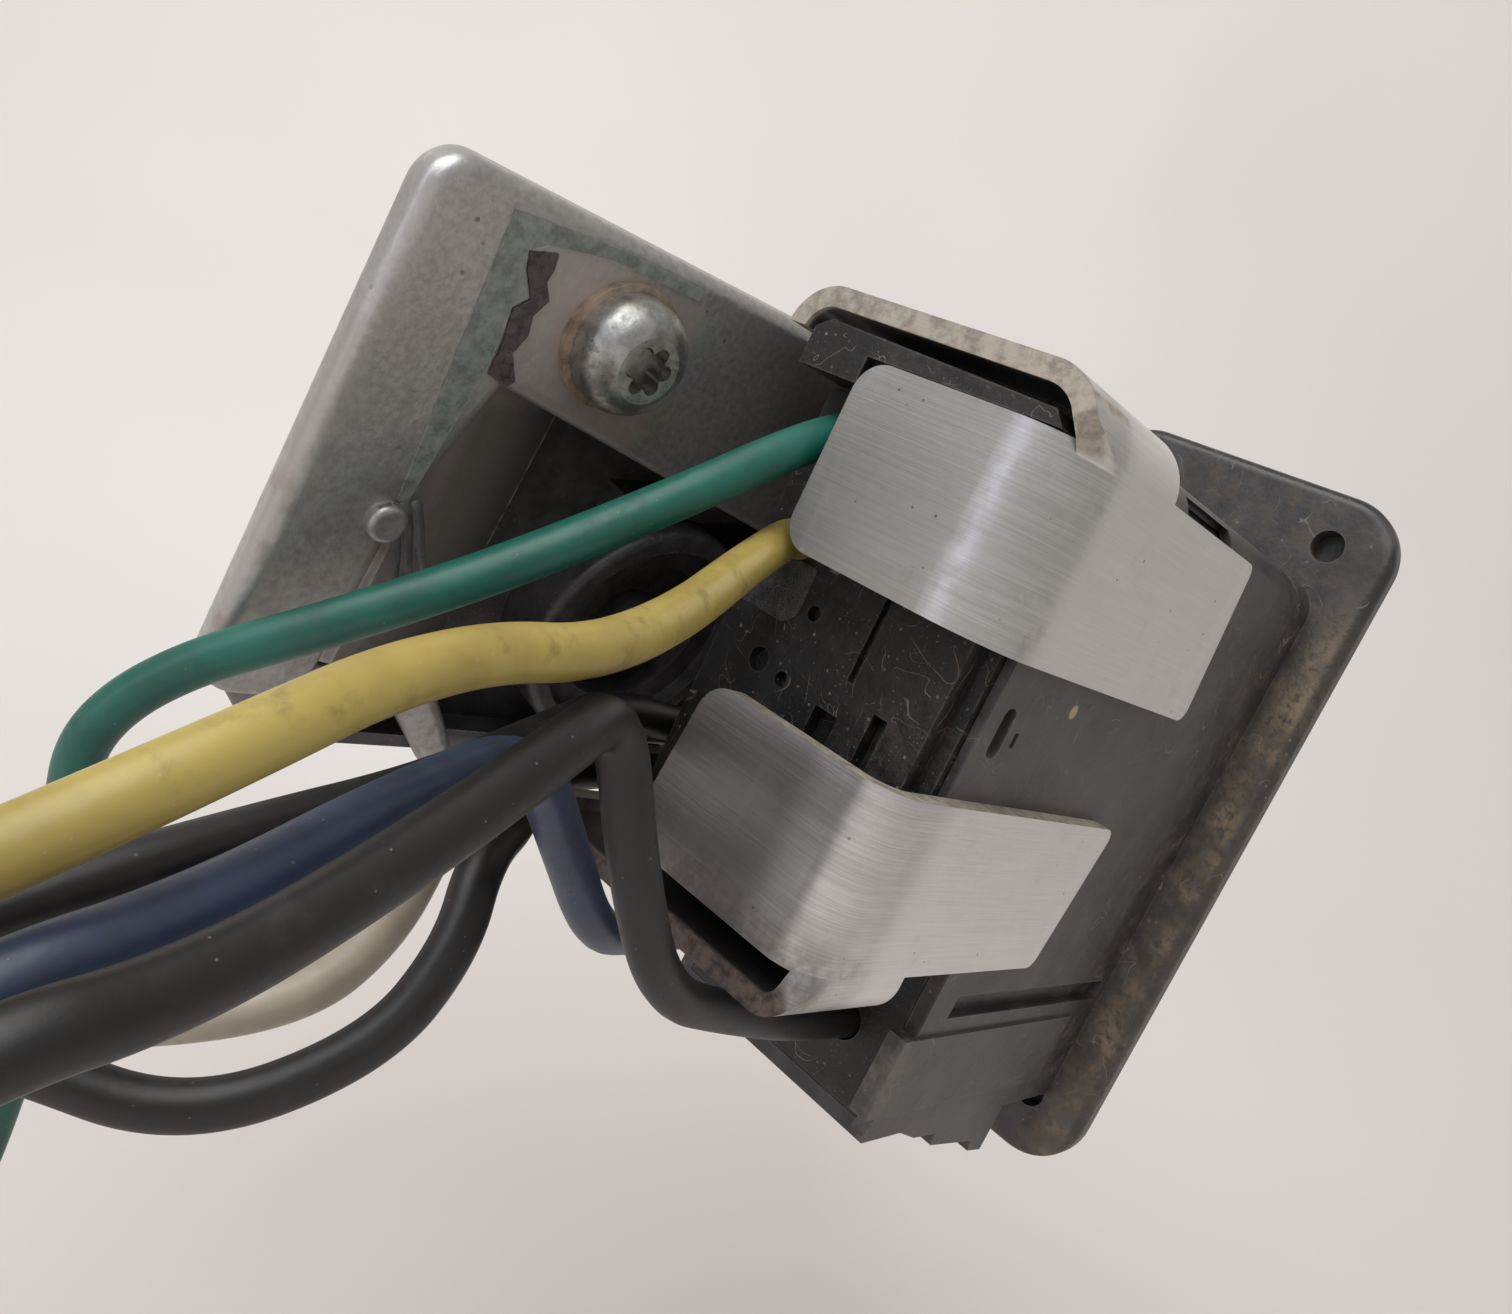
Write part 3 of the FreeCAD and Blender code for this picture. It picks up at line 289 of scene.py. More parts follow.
# ---- shader nodes ----
SMOOTH = {"interpolation_type": "SMOOTHSTEP"}
MULTIPLY = {"operation": "MULTIPLY"}
MAXIMUM = {"operation": "MAXIMUM"}
COLOURS = {"data_type": "RGBA"}


def linear(code):
    """Turn an sRGB hex colour into linear values."""
    parts = [int(code[i:i + 2], 16) / 255 for i in (1, 3, 5)]
    return (*[c / 12.92 if c <= 0.04045 else ((c + 0.055) / 1.055) ** 2.4 for c in parts], 1.0)


def fill(tree, sockets, values):
    """Link or set each named socket."""
    for name, value in values.items():
        if isinstance(value, bpy.types.NodeSocket):
            tree.links.new(value, sockets[name])
        else:
            sockets[name].default_value = value


def add(tree, kind, inputs=None, settings=None, out=0):
    """Add a node with its settings and links, and hand back one of its outputs."""
    made = tree.nodes.new("ShaderNode" + kind)
    for name, value in (settings or {}).items():
        setattr(made, name, value)
    fill(tree, made.inputs, inputs or {})
    return made.outputs[out]


def start(name):
    """New material, with the object's coordinates in millimetres."""
    material = bpy.data.materials.new(name)
    material.use_nodes = True
    tree = material.node_tree
    coords = add(tree, "TexCoord", out="Object")
    place = add(tree, "VectorMath", {0: coords, "Scale": 1000.0}, {"operation": "SCALE"}, "Vector")
    return material, tree, place


# ---- marks that several finishes share; each is a mask from 0 to 1, with sizes in millimetres ----
def patches(tree, place, size, low, high, detail=4.0, stretch=(1.0, 1.0, 1.0)):
    """Ragged patches about size across; a stretch under 1 draws them out along that axis."""
    spot = add(tree, "VectorMath", {0: place, 1: tuple(s / size for s in stretch)}, MULTIPLY, "Vector")
    cloud = add(tree, "TexNoise", {"Vector": spot, "Scale": 1.0, "Detail": detail,
                                   "Roughness": 0.62}, out="Fac")
    return add(tree, "MapRange", {"Value": cloud, "From Min": low, "From Max": high}, SMOOTH, "Result")


def specks(tree, place, spacing, size):
    """Small round specks, size across and about spacing apart."""
    cell = add(tree, "TexVoronoi", {"Vector": place, "Scale": 1.0 / spacing}, out="Distance")
    reach = size / spacing / 2
    return add(tree, "MapRange", {"Value": cell, "From Min": reach * 0.6, "From Max": reach,
                                  "To Min": 1.0, "To Max": 0.0}, SMOOTH, "Result")


def past(tree, place, direction, begin, full):
    """0 at begin and 1 at full, along a direction."""
    run = add(tree, "VectorMath", {0: place, 1: tuple(direction)}, {"operation": "DOT_PRODUCT"}, "Value")
    ends = (0.0, 1.0) if begin < full else (1.0, 0.0)
    return add(tree, "MapRange", {"Value": run, "From Min": min(begin, full), "From Max": max(begin, full),
                                  "To Min": ends[0], "To Max": ends[1]}, SMOOTH, "Result")


def around(tree, place, centre, radius, soft):
    """1 within a radius of a point, fading over soft."""
    away = add(tree, "VectorMath", {0: place, 1: tuple(centre)}, {"operation": "DISTANCE"}, "Value")
    return add(tree, "MapRange", {"Value": away, "From Min": radius, "From Max": radius + soft,
                                  "To Min": 1.0, "To Max": 0.0}, SMOOTH, "Result")


def fibres(tree, place, size, width):
    """Curled hairs of lint, drawn where a warped noise crosses its middle value."""
    bend = add(tree, "TexNoise", {"Vector": place, "Scale": 1.0 / size, "Detail": 1.5,
                                  "Distortion": 1.6}, out="Fac")
    off = add(tree, "Math", {0: bend, 1: 0.5}, {"operation": "SUBTRACT"})
    off = add(tree, "Math", {0: off}, {"operation": "ABSOLUTE"})
    line = add(tree, "MapRange", {"Value": off, "From Min": width * 0.4, "From Max": width,
                                  "To Min": 1.0, "To Max": 0.0}, SMOOTH, "Result")
    return together(tree, line, patches(tree, place, size * 0.45, 0.50, 0.60, 1.0))


def worn_highlit_edges(tree, place, radius):
    """Outer edges that handling has rubbed, broken up along their length; the lighter colour laid on them is
    also a painted edge highlight.
    """
    turned = add(tree, "Bevel", {"Radius": radius * MM}, {"samples": 4}, "Normal")
    plain = add(tree, "NewGeometry", out="Normal")
    same = add(tree, "VectorMath", {0: turned, 1: plain}, {"operation": "DOT_PRODUCT"}, "Value")
    edge = add(tree, "MapRange", {"Value": same, "From Min": 0.93, "From Max": 0.995,
                                  "To Min": 1.0, "To Max": 0.0}, SMOOTH, "Result")
    return together(tree, edge, patches(tree, place, 1.4, 0.36, 0.56))


def together(tree, first, *others):
    """Where all the masks meet."""
    for mask in others:
        first = add(tree, "Math", {0: first, 1: mask}, MULTIPLY)
    return first


def coats(tree, colour, roughness, layers):
    """Lay coats over a base: each has a mask, how much it covers, its hex colour and roughness."""
    for mask, cover, code, rough in layers:
        amount = add(tree, "Math", {0: mask, 1: cover}, MULTIPLY)
        colour = add(tree, "Mix", {"Factor": amount, "A": colour, "B": linear(code)}, COLOURS, "Result")
        roughness = add(tree, "Mix", {"Factor": amount, "A": roughness, "B": rough}, out="Result")
    return colour, roughness


def relief(tree, layers):
    """Stack of bumps: each has a height mask, a strength and a depth in millimetres."""
    values = {}
    for height, strength, depth in layers:
        normal = add(tree, "Bump", {"Height": height, "Strength": strength, "Distance": depth * MM,
                                    **values}, out="Normal")
        values = {"Normal": normal}
    return normal


def finish(material, values):
    """Fill in the surface and return the material."""
    tree = material.node_tree
    fill(tree, tree.nodes["Principled BSDF"].inputs, values)
    return material


# ---- finishes ----
def moulded_black(name, dark, light, dusty=0.5, gloss=0.5):
    """Black glass-filled nylon, or nitrile rubber for the seal, moulded and dusty from service.

    The eye gets a near-black satin with fine grain, grey-brown dust in drifts, pale grit and hairs."""
    material, tree, place = start(name)
    grain = patches(tree, place, 0.35, 0.3, 0.7, 3.0)        # texture of the mould, coarser than life
    tone = patches(tree, place, 1.6, 0.3, 0.7, 6.0)
    drift = together(tree, patches(tree, place, 6.0, 0.44, 0.66, 6.0), patches(tree, place, 0.8, 0.3, 0.6))
    grit = together(tree, specks(tree, place, 0.75, 0.26), patches(tree, place, 2.2, 0.46, 0.6))
    fine_grit = together(tree, specks(tree, place, 0.34, 0.12), patches(tree, place, 1.6, 0.42, 0.6))
    base = add(tree, "Mix", {"Factor": tone, "A": linear(dark), "B": linear(light)}, COLOURS, "Result")
    colour, rough = coats(tree, base, gloss, [
        (drift, dusty * 0.55, "#4d4640", 0.85),
        (grit, dusty * 1.2, "#857c70", 0.9),
        (fine_grit, dusty * 1.1, "#756d62", 0.9),
        (fibres(tree, place, 5.0, 0.004), dusty * 0.7, "#a0978a", 0.8),
        (fibres(tree, place, 9.0, 0.003), dusty * 0.8, "#8d8478", 0.8),
        (worn_highlit_edges(tree, place, 0.25), 0.45, "#5f5b56", 0.5),
    ])
    normal = relief(tree, [(grain, 0.35, 0.04), (drift, 0.2, 0.05), (grit, 0.5, 0.06)])
    return finish(material, {"Base Color": colour, "Roughness": rough, "Normal": normal, "IOR": 1.53})


def bezel_abs():
    """Black ABS bezel and sleeve, moulded smooth and handled.

    The eye gets a satin grey-black wall, a glossy rolled rim and tan soil caked on the rear face."""
    material, tree, place = start("bezel_abs")
    tone = patches(tree, place, 2.2, 0.3, 0.7, 6.0)
    base = add(tree, "Mix", {"Factor": tone, "A": linear("#262423"), "B": linear("#353230")},
               COLOURS, "Result")
    film = patches(tree, place, 3.0, 0.42, 0.70, 6.0)
    grit = together(tree, specks(tree, place, 0.9, 0.3), patches(tree, place, 3.0, 0.5, 0.62))

    # The sleeve's right wall, and the painted shade where it meets the flange
    wall = together(tree, past(tree, place, RIGHT, SLEEVE_FACE - 0.25, SLEEVE_FACE - 0.1),
                    past(tree, place, FORWARD, -3.0, -6.0))
    wall_cloud = patches(tree, place, 9.0, 0.3, 0.66, 5.0)
    # painted shade: the wall darkens in patches towards the corner at the flange
    root_painted_shade = together(tree, past(tree, place, FORWARD, -17.0, -1.0),
                    past(tree, place, RIGHT, SLEEVE_FACE - 1.15, SLEEVE_FACE - 0.25),
                    patches(tree, place, 5.0, 0.34, 0.62, 6.0))
    root_dirt = together(tree, past(tree, place, FORWARD, -11.0, -1.0),
                         patches(tree, place, 2.6, 0.44, 0.68, 6.0), patches(tree, place, 0.6, 0.30, 0.6))
    crumb = around(tree, place, WALL_CRUMB, 0.35, 0.25)

    # The flange's rear face, its right band and its rim
    rear = past(tree, place, FORWARD, -1.5, -0.2)
    right = past(tree, place, RIGHT, SLEEVE_FACE - 0.35, FLANGE_EDGE - 1.2)
    low = past(tree, place, UP, 27.0, 14.0)
    caked = together(tree, rear, right, low, patches(tree, place, 5.0, 0.34, 0.60, 7.0),
                     patches(tree, place, 0.8, 0.26, 0.58, 5.0))
    hole_soil = together(tree, around(tree, place, UPPER_HOLE, 1.3, 1.6), rear)
    rim = past(tree, place, RIGHT, FLANGE_EDGE - 1.1, FLANGE_EDGE - 0.5)
    top_rim = past(tree, place, UP, FLANGE_TOP - 1.2, FLANGE_TOP - 0.5)

    # The broken rear edge of the lower chamber's right wall
    torn = together(tree, past(tree, place, FORWARD, -30.3, -30.5), past(tree, place, RIGHT, 8.8, 9.0),
                    past(tree, place, UP, -16.0, -18.0), patches(tree, place, 1.3, 0.36, 0.7, 6.0))

    colour, rough = coats(tree, base, 0.42, [
        (wall, 0.4, "#3b3938", 0.5),
        (together(tree, wall, wall_cloud), 0.5, "#504e4b", 0.5),
        (film, 0.3, "#5f5a54", 0.6),
        (together(tree, rear, right), 0.3, "#6b6660", 0.55),
        (root_painted_shade, 0.85, "#252220", 0.6),
        (root_dirt, 0.8, "#574c41", 0.9),
        (hole_soil, 0.9, "#453d34", 0.95),
        (caked, 0.95, "#857662", 0.95),
        (rim, 0.75, "#1d1b1a", 0.26),
        (top_rim, 0.75, "#1d1b1a", 0.26),
        (grit, 0.4, "#8f8474", 0.9),
        (crumb, 0.9, "#b3a284", 0.9),
        (fibres(tree, place, 6.0, 0.005), 0.35, "#9a9184", 0.8),
        (torn, 0.6, "#746e67", 0.7),
        (worn_highlit_edges(tree, place, 0.3), 0.35, "#66615b", 0.5),
    ])
    normal = relief(tree, [(patches(tree, place, 0.4, 0.3, 0.7, 3.0), 0.3, 0.04), (caked, 0.5, 0.12),
                           (wall_cloud, 0.15, 0.1)])
    return finish(material, {"Base Color": colour, "Roughness": rough, "Normal": normal, "IOR": 1.54})


def clip_cuts(tree, place, normal, upright):
    """Masks for the clips' sheared edges and ends, and for the soiled end of the lower lip."""
    level = add(tree, "Math", {0: upright}, {"operation": "ABSOLUTE"})
    edges = add(tree, "MapRange", {"Value": level, "From Min": 0.93, "From Max": 0.985}, SMOOTH, "Result")
    edges = together(tree, edges, past(tree, place, UP, 22.6, 22.0), past(tree, place, UP, -12.6, -12.0))
    upper_end = together(tree, past(tree, place, FORWARD, UPPER_LIP_Y + 0.45, UPPER_LIP_Y),
                         past(tree, place, UP, UPPER_LIP_Z - 0.1, UPPER_LIP_Z))
    lower_end = together(tree, past(tree, place, FORWARD, LOWER_LIP_Y + 0.45, LOWER_LIP_Y),
                         past(tree, place, UP, LOWER_LIP_Z + 0.1, LOWER_LIP_Z))
    leg_end = together(tree, past(tree, place, RIGHT, 10.0, 10.2), past(tree, place, FORWARD, -43.5, -44.5),
                       past(tree, place, UP, 20.4, 21.0), past(tree, normal, RIGHT, 0.9, 0.7))
    for end in (upper_end, leg_end):
        edges = add(tree, "Math", {0: edges, 1: end}, MAXIMUM)
    return edges, lower_end


def clip_aluminium():
    """Mill-finish aluminium strip, brushed along its length, sheared, and bent by hand.

    The eye gets a soft grey metal with fine lines, a few pale smears across, pits and tan sheared edges, with
    painted light: lighter wings and tabs, darker lips and painted shade in a hollow."""
    material, tree, place = start("clip_aluminium")
    normal = add(tree, "NewGeometry", out="Normal")
    upright = add(tree, "SeparateXYZ", {0: normal}, out="Z")

    # Brush lines 0.05 mm apart, drawn at 0.12 mm; they run round the bend, square to Z
    lines = patches(tree, place, 0.12, 0.25, 0.75, 3.0, (0.02, 0.02, 1.0))
    broad = patches(tree, place, 0.7, 0.3, 0.7, 3.0, (0.03, 0.03, 1.0))
    smears = patches(tree, place, 3.4, 0.56, 0.74, 3.0, (1.0, 1.0, 0.06))
    cloud = patches(tree, place, 5.0, 0.36, 0.70, 5.0)
    stains = together(tree, patches(tree, place, 3.4, 0.56, 0.70, 6.0), patches(tree, place, 0.9, 0.32, 0.6))
    pits = together(tree, specks(tree, place, 1.1, 0.24), patches(tree, place, 3.0, 0.52, 0.64))
    burr = patches(tree, place, 0.9, 0.34, 0.62, 6.0)
    base = add(tree, "Mix", {"Factor": lines, "A": linear("#bdbbb9"), "B": linear("#d3d2d1")},
               COLOURS, "Result")

    # Wings that lie on the sleeve and the tabs, painted lighter as painted light; the two lips across the
    # back, painted darker as a painted reflection; the lower lip darker towards its foot; painted shade in
    # the lower one's hollow
    forward_painted_light = past(tree, place, FORWARD, -45.5, -42.5)
    lip = together(tree, past(tree, place, FORWARD, -47.5, -48.8), past(tree, place, RIGHT, 8.6, 5.0))
    low_lip_painted_reflection = together(tree, past(tree, place, UP, 1.5, -1.0), lip)
    up_lip_painted_reflection = together(tree, past(tree, place, UP, 7.0, 9.0), lip)
    low_foot_darkening = together(tree, past(tree, place, UP, -7.0, -12.5), past(tree, place, FORWARD, -46.0, -49.5))
    facing_up = add(tree, "MapRange", {"Value": upright, "From Min": 0.3, "From Max": 0.6}, out="Result")
    hollow_painted_shade = together(tree, past(tree, place, UP, -10.5, -11.5), facing_up)

    colour, rough = coats(tree, base, 0.33, [
        (broad, 0.18, "#aaa7a3", 0.40),
        (smears, 0.30, "#e6e6e6", 0.36),
        (cloud, 0.22, "#a5a19b", 0.46),
        (stains, 0.30, "#7d756a", 0.6),
        # painted reflection: the upper lip a little darker and browner, the lower lip much darker
        (up_lip_painted_reflection, 0.35, "#a1988c", 0.42),
        (low_lip_painted_reflection, 0.7, "#6a6561", 0.44),
        # the lower lip darker towards its foot and its rear edge
        (low_foot_darkening, 0.30, "#7a716a", 0.55),
        (together(tree, low_foot_darkening, burr), 0.45, "#5d554e", 0.7),
        # painted light: wings and tabs forward of the lips painted near white, as if better lit
        (forward_painted_light, 0.6, "#e9e7e5", 0.5),
        # painted shade: upward faces low in the lower clip painted dark
        (hollow_painted_shade, 0.8, "#4a4440", 0.8),
        (pits, 0.75, "#4a433c", 0.8),
    ])
    cuts, lower_end = clip_cuts(tree, place, normal, upright)
    edge_tone = add(tree, "Mix", {"Factor": burr, "A": linear("#8a8276"), "B": linear("#ada598")},
                    COLOURS, "Result")
    rust_tone = add(tree, "Mix", {"Factor": burr, "A": linear("#3b3230"), "B": linear("#675a53")},
                    COLOURS, "Result")
    colour = add(tree, "Mix", {"Factor": cuts, "A": colour, "B": edge_tone}, COLOURS, "Result")
    colour = add(tree, "Mix", {"Factor": lower_end, "A": colour, "B": rust_tone}, COLOURS, "Result")
    cuts = add(tree, "Math", {0: cuts, 1: lower_end}, MAXIMUM)
    rough = add(tree, "Mix", {"Factor": cuts, "A": rough, "B": 0.7}, out="Result")
    metal = add(tree, "MapRange", {"Value": cuts, "To Min": 1.0, "To Max": 0.3}, out="Result")
    bumps = relief(tree, [(lines, 0.22, 0.02), (broad, 0.15, 0.04), (smears, 0.08, 0.06), (burr, 0.10, 0.05),
                          (pits, -0.5, 0.05)])
    grain = add(tree, "Tangent", settings={"direction_type": "RADIAL", "axis": "Z"})
    return finish(material, {"Base Color": colour, "Roughness": rough, "Metallic": metal, "Normal": bumps,
                             "Anisotropic": 0.6, "Tangent": grain})


def plate_zinc():
    """Zinc-plated steel sheet gone dull, pressed round the window.

    The eye gets a speckled mid grey, bright rubbed corners that also carry a painted highlight, a pinkish
    gummy pad, specks of rust, and painted shade in the window and at the forward end."""
    material, tree, place = start("plate_zinc")
    local = add(tree, "VectorMath", {0: place, 1: tuple(PLATE_ORIGIN)}, {"operation": "SUBTRACT"}, "Vector")
    spangle = patches(tree, place, 0.45, 0.28, 0.72, 4.0)
    cloud = patches(tree, place, 6.0, 0.36, 0.66, 6.0)
    spots = together(tree, specks(tree, place, 1.7, 0.36), patches(tree, place, 4.0, 0.46, 0.6))
    base = add(tree, "Mix", {"Factor": spangle, "A": linear("#979492"), "B": linear("#b1afad")},
               COLOURS, "Result")

    # Gummy pad round the earthing screw
    pad = together(tree, past(tree, local, PLATE_ALONG, 7.8, 8.6), past(tree, local, PLATE_ALONG, 20.5, 19.3),
                   past(tree, local, PLATE_UP, -12.0, -11.3), past(tree, local, PLATE_UP, -1.4, -2.2),
                   patches(tree, place, 1.3, 0.30, 0.46, 5.0))

    # Wall formed inwards at the window, its lip and its foot; the wall and the foot carry painted shade,
    # darker into the window
    well_painted_shade = together(tree, past(tree, local, PLATE_ALONG, 7.0, 8.4), past(tree, local, PLATE_UP, -11.4, -12.6),
                    past(tree, local, PLATE_OUT, -0.25, -0.9))
    lip = together(tree, past(tree, local, PLATE_OUT, -0.1, -0.4), past(tree, local, PLATE_OUT, -1.5, -1.0),
                   past(tree, local, PLATE_UP, -9.0, -10.0))
    foot_painted_shade = past(tree, local, PLATE_OUT, -1.6, -4.4)

    # Rubbed rear edge with a painted highlight and rust below, darker towards the bottom, and painted shade
    # at the forward end
    rear = past(tree, local, PLATE_ALONG, 2.2, 0.1)
    rust = together(tree, past(tree, local, PLATE_ALONG, 3.0, 0.3), past(tree, local, PLATE_UP, -10.0, -22.0),
                    patches(tree, place, 1.8, 0.50, 0.64, 6.0))
    darkening = together(tree, past(tree, local, PLATE_UP, -4.0, -24.0),
                     patches(tree, place, 2.6, 0.46, 0.68, 6.0))
    forward_painted_shade = together(tree, past(tree, local, PLATE_ALONG, 20.0, 30.0), cloud)

    colour, rough = coats(tree, base, 0.42, [
        (cloud, 0.35, "#b0aeac", 0.38),
        # painted shade: the forward end, where the plate runs behind the module, painted darker
        (forward_painted_shade, 0.15, "#7d7977", 0.5),
        (pad, 0.75, "#ada29f", 0.6),
        # the plate darker towards its bottom, in patches
        (darkening, 0.32, "#655f59", 0.7),
        # painted shade: the wall and the foot inside the window painted dark
        (well_painted_shade, 0.85, "#645e58", 0.7),
        (foot_painted_shade, 0.85, "#343236", 0.6),
        (lip, 0.7, "#8b8380", 0.5),
        (rust, 0.55, "#74583f", 0.85),
        (spots, 0.6, "#4f4a46", 0.7),
        # painted highlight: the rear edge band and the outer edges, partly rubbed zinc, painted lighter and
        # glossier
        (rear, 0.4, "#bdbbb9", 0.34),
        (worn_highlit_edges(tree, place, 0.5), 0.6, "#cfcecd", 0.28),
    ])
    dull = add(tree, "Math", {0: well_painted_shade, 1: foot_painted_shade}, MAXIMUM)
    metal = add(tree, "MapRange", {"Value": dull, "To Min": 0.7, "To Max": 0.1}, out="Result")
    normal = relief(tree, [(spangle, 0.25, 0.03), (cloud, 0.2, 0.2), (spots, -0.3, 0.05)])
    return finish(material, {"Base Color": colour, "Roughness": rough, "Metallic": metal, "Normal": normal})


def plated_metal(name, bright, dull, grimy=0.5, rough=0.30):
    """Small turned or pressed part with a thin plated skin that has dulled.

    The eye gets a cloudy metal with dark grime and tiny pits."""
    material, tree, place = start(name)
    cloud = patches(tree, place, 1.2, 0.3, 0.7, 5.0)
    darkening = together(tree, patches(tree, place, 0.9, 0.50, 0.66, 5.0), patches(tree, place, 3.0, 0.4, 0.6))
    pits = together(tree, specks(tree, place, 0.5, 0.16), patches(tree, place, 1.5, 0.48, 0.6))
    base = add(tree, "Mix", {"Factor": cloud, "A": linear(dull), "B": linear(bright)}, COLOURS, "Result")
    colour, rough = coats(tree, base, rough, [
        (darkening, grimy, "#4c4640", 0.7),
        (pits, 0.7, "#3a3632", 0.8),
    ])
    normal = relief(tree, [(cloud, 0.3, 0.06), (pits, -0.6, 0.04)])
    return finish(material, {"Base Color": colour, "Roughness": rough, "Metallic": 1.0, "Normal": normal})


def coloured_plastic(name, light, dark, dirt, dirty, rough=0.42):
    """PVC insulation, extruded, so its skin is satin and waxy, or the button's plain nylon.

    The eye gets an even colour with slow waves, rubbed dirt in smudges and a few dark nicks."""
    material, tree, place = start(name)
    wave = patches(tree, place, 7.0, 0.3, 0.7, 4.0)
    smudge = together(tree, patches(tree, place, 2.6, 0.50, 0.72, 6.0), patches(tree, place, 0.7, 0.28, 0.6))
    nicks = together(tree, specks(tree, place, 1.3, 0.26), patches(tree, place, 3.5, 0.52, 0.66))
    skin = patches(tree, place, 0.5, 0.3, 0.7, 3.0)
    base = add(tree, "Mix", {"Factor": wave, "A": linear(dark), "B": linear(light)}, COLOURS, "Result")
    colour, rough = coats(tree, base, rough, [
        (smudge, dirty, dirt, 0.75),
        (nicks, dirty, dirt, 0.8),
        (specks(tree, place, 0.9, 0.14), dirty * 0.6, "#b5ab9a", 0.8),
    ])
    normal = relief(tree, [(skin, 0.12, 0.03), (wave, 0.15, 0.12)])
    return finish(material, {"Base Color": colour, "Roughness": rough, "Normal": normal, "IOR": 1.53})


def thin_sheet(name, light, dark, cover, thinnest, rough):
    """Paper liner, dried adhesive or plastic film: thin, torn and partly see-through.

    The eye gets a mottled skin that shows a little of what lies under it."""
    material, tree, place = start(name)
    pulp = patches(tree, place, 0.5, 0.28, 0.72, 5.0)
    base = add(tree, "Mix", {"Factor": pulp, "A": linear(dark), "B": linear(light)}, COLOURS, "Result")
    torn = patches(tree, place, 1.1, 0.36, 0.56, 6.0)
    alpha = add(tree, "MapRange", {"Value": torn, "To Min": thinnest, "To Max": cover}, out="Result")
    return finish(material, {"Base Color": base, "Roughness": rough, "Alpha": alpha,
                             "Normal": relief(tree, [(pulp, 0.3, 0.04)])})


def drawn_wire(name, bright, dull, rough):
    """Drawn wire of spring steel or copper. The eye gets a bright metal clouded by a little tarnish."""
    material, tree, place = start(name)
    tarnish = patches(tree, place, 0.8, 0.36, 0.68, 4.0)
    base = add(tree, "Mix", {"Factor": tarnish, "A": linear(bright), "B": linear(dull)}, COLOURS, "Result")
    return finish(material, {"Base Color": base, "Roughness": rough, "Metallic": 1.0,
                             "Normal": relief(tree, [(tarnish, 0.15, 0.02)])})


def make_finishes():
    """Every finish, by the name that the tables here give it."""
    return {
        "nylon": moulded_black("housing_nylon", "#0f0d0c", "#1b1817", 0.6),
        "block_nylon": moulded_black("block_nylon", "#2f2d2d", "#434142", 0.25, 0.4),
        "bezel_abs": bezel_abs(),
        "clip_aluminium": clip_aluminium(),
        "plate_zinc": plate_zinc(),
        "zinc_steel": plated_metal("zinc_steel", "#b4b4b2", "#86857f", 0.55, 0.42),
        "copper_washer": plated_metal("copper_washer", "#ccbba9", "#ab9a88", 0.35, 0.55),
        "nickel_brass": plated_metal("nickel_brass", "#d6d2c8", "#b0aba0", 0.2, 0.24),
        "bimetal": plated_metal("rolled_bimetal", "#b9b09e", "#8f8675", 0.2, 0.36),
        "spring_steel": drawn_wire("spring_steel", "#b9bbbe", "#85878a", 0.28),
        "bare_copper": drawn_wire("bare_copper", "#d99470", "#a5613f", 0.30),
        "green_pvc": coloured_plastic("green_pvc", "#176052", "#104a3f", "#12332c", 0.4),
        "yellow_pvc": coloured_plastic("yellow_pvc", "#ad9a50", "#988443", "#54432a", 0.55),
        "blue_pvc": coloured_plastic("blue_pvc", "#38435c", "#293246", "#24221f", 0.4),
        "black_pvc": coloured_plastic("black_pvc", "#171413", "#0f0d0d", "#37312c", 0.35, 0.46),
        "white_pvc": coloured_plastic("white_pvc", "#b0a696", "#978c7c", "#5f503f", 0.5),
        "liner": thin_sheet("glassine_liner", "#969b96", "#7d837e", 0.8, 0.5, 0.55),
        "adhesive": thin_sheet("acrylic_adhesive", "#5a4f4e", "#463d3c", 0.95, 0.35, 0.8),
        "film": thin_sheet("polyester_film", "#6b6a69", "#4f4f50", 0.62, 0.48, 0.22),
        "seal_rubber": moulded_black("nitrile_rubber", "#1c1b1a", "#282725", 0.3, 0.7),
        "button_nylon": coloured_plastic("button_nylon", "#a8322a", "#8c2620", "#4a1c16", 0.2, 0.4),
    }


NODE_FINISH = {
    "bezel_frame": "bezel_abs", "module_body": "nylon", "module_back_cover": "nylon",
    "line_pins": "nickel_brass", "earth_pin": "nickel_brass", "breaker_cover": "nylon",
    "reset_button": "button_nylon", "reset_spring": "spring_steel", "spring_seat": "nylon",
    "breaker_bimetal": "bimetal", "breaker_terminals": "nickel_brass",
    "upper_clip": "clip_aluminium", "lower_clip": "clip_aluminium", "side_plate": "plate_zinc",
    "plate_screws": "zinc_steel", "window_block": "block_nylon", "window_plug": "block_nylon",
    "block_rivets": "zinc_steel", "earth_washer": "copper_washer", "earth_screw": "zinc_steel",
    "earth_nut": "zinc_steel", "label_liner": "liner", "adhesive_strip": "adhesive",
    "locating_rivet": "plate_zinc", "insulation_film": "film", "inlet_lid": "nylon",
    "lid_pin": "zinc_steel", "lid_spring": "spring_steel", "lid_gasket": "seal_rubber",
    "side_terminal_strip": "nylon", "side_terminal_screws": "zinc_steel",
}


def dress_nodes(finishes):
    """Give each frame node its finish."""
    for name, look in NODE_FINISH.items():
        node = nodes[name]
        node.data.materials.clear()
        node.data.materials.append(finishes[look])
        for face in node.data.polygons:
            face.material_index = 0


# ---- torn film round the nub ----
def on_plate(x, y, z):
    """Place on the side plate: forward, up and out, in millimetres from its top rear corner."""
    return (PLATE_ORIGIN + PLATE_ALONG * x + PLATE_UP * y + PLATE_OUT * z) * MM


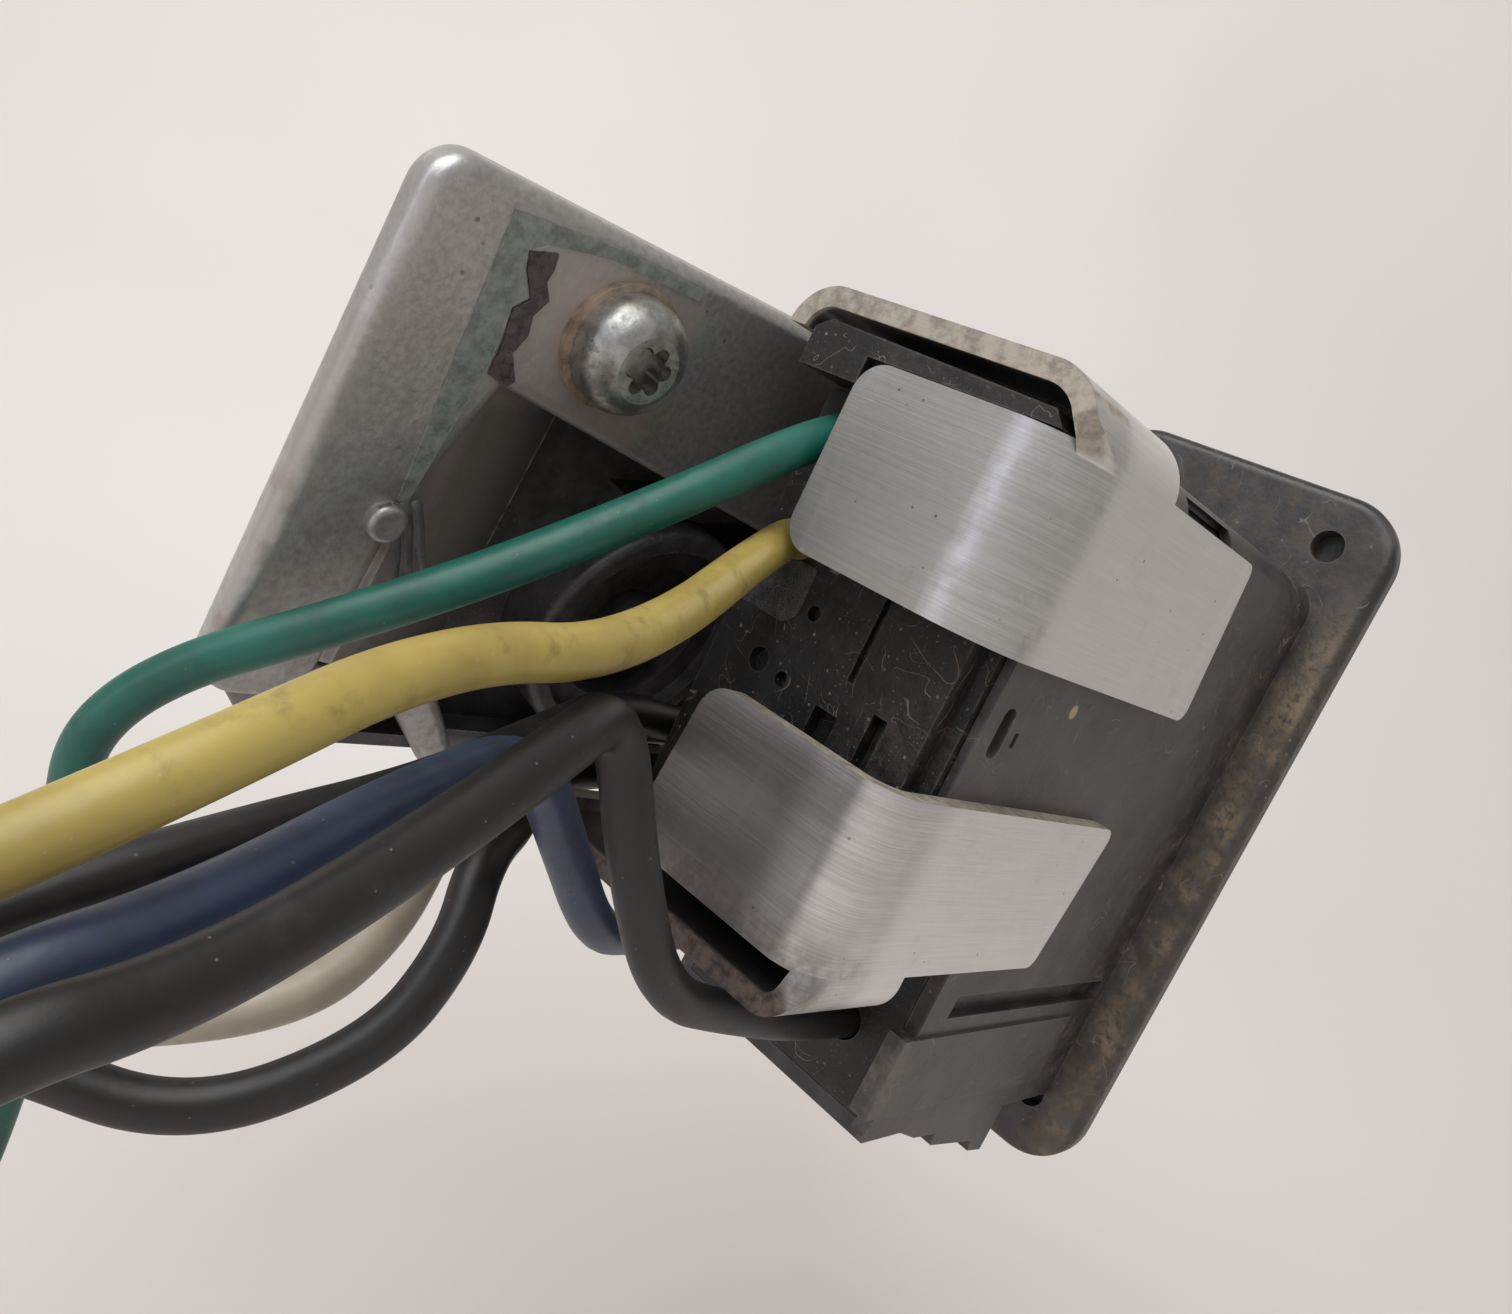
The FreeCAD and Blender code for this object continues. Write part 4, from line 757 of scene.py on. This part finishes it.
def make_film_folds(finishes):
    """Crumpled strips of film that trail from the nub along the plate."""
    work = bmesh.new()
    for strip in range(FOLD_COUNT):
        pairs = []
        for i in range(FOLD_STEPS):
            t = i / (FOLD_STEPS - 1)
            x = FOLD_START[0] + FOLD_SPACING[0] * strip + FOLD_RUN[0] * t
            x += FOLD_SWAY * math.sin(5 * t + strip)
            y = FOLD_START[1] + FOLD_SPACING[1] * strip + FOLD_RUN[1] * t
            lift = FOLD_LIFT + FOLD_CROWN * math.sin(math.pi * t) * (0.6 + 0.3 * strip)
            half = FOLD_HALF * (1.0 - FOLD_NARROWING * t)
            tilt = 0.5 * math.sin(7 * t + 2 * strip)
            pairs.append([on_plate(x + edge, y + edge * FOLD_SLANT, lift + edge * tilt)
                          for edge in (-half, half)])
        ribbon(work, pairs)
    piece = mesh_piece("film_folds", work, finishes["film"])
    thick = piece.modifiers.new("thickness", "SOLIDIFY")
    thick.thickness = FOLD_THICK
    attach(piece, "root")


# ---- floor, backdrop and light ----
def board_card():
    """Matt card. The eye gets a pale warm grey, with a painted shadow that darkens it a little under the
    object.
    """
    material, tree, place = start("matt_board")
    cloud = patches(tree, place, 260.0, 0.3, 0.7, 2.0)
    colour = add(tree, "Mix", {"Factor": cloud, "A": linear("#e3dfdc"), "B": linear("#e9e5e2")},
                 COLOURS, "Result")
    # painted shadow: the card is mixed darker round a patch under the object
    painted_shadow = add(tree, "Math", {0: around(tree, place, SHADE_AT, SHADE_R, SHADE_FADE), 1: 0.55}, MULTIPLY)
    colour = add(tree, "Mix", {"Factor": painted_shadow, "A": colour, "B": linear("#c3b9b4")}, COLOURS, "Result")
    tooth = patches(tree, place, 1.2, 0.3, 0.7, 3.0)
    return finish(material, {"Base Color": colour, "Roughness": 0.9,
                             "Normal": relief(tree, [(tooth, 0.1, 0.05)])})


def make_stage():
    """Pale board that runs under the object and curves up behind it."""
    profile = [(BOARD_NEAR, BOARD_FLOOR)]
    for i in range(SWEEP_STEPS + 1):
        a = math.pi / 2 * i / SWEEP_STEPS
        profile.append((BOARD_WALL - SWEEP_R + SWEEP_R * math.sin(a),
                        BOARD_FLOOR + SWEEP_R - SWEEP_R * math.cos(a)))
    profile.append((BOARD_WALL, BOARD_TOP))
    work = bmesh.new()
    ribbon(work, [[BOARD_AWAY * run + BOARD_ASIDE * side + Vector((0, 0, height))
                   for side in (-BOARD_HALF, BOARD_HALF)] for run, height in profile])
    mesh_piece("board", work, board_card())


def softbox(name, at, size, power, code):
    """Large soft lamp aimed at the middle of the object."""
    data = bpy.data.lights.new(name, "AREA")
    data.shape = "RECTANGLE"
    data.size, data.size_y = size
    data.energy = power
    data.color = linear(code)[:3]
    lamp = bpy.data.objects.new(name, data)
    lamp.location = at
    lamp.rotation_mode = "QUATERNION"
    lamp.rotation_quaternion = (at - LIT_POINT).to_track_quat("Z", "Y")
    bpy.context.scene.collection.objects.link(lamp)


def make_light():
    """Three lamps and a plain pale room."""
    for name, offset, size, power, code in LAMPS:
        softbox(name, LIT_POINT + offset, size, power, code)
    world = bpy.data.worlds.new("room")
    world.use_nodes = True
    fill(world.node_tree, world.node_tree.nodes["Background"].inputs,
         {"Color": linear(ROOM_COLOUR), "Strength": ROOM_STRENGTH})
    bpy.context.scene.world = world


def main():
    bpy.context.scene.view_settings.view_transform = "Standard"
    make_camera()
    finishes = make_finishes()
    make_leads(finishes)
    dress_nodes(finishes)
    make_film_folds(finishes)
    make_stage()
    make_light()


main()
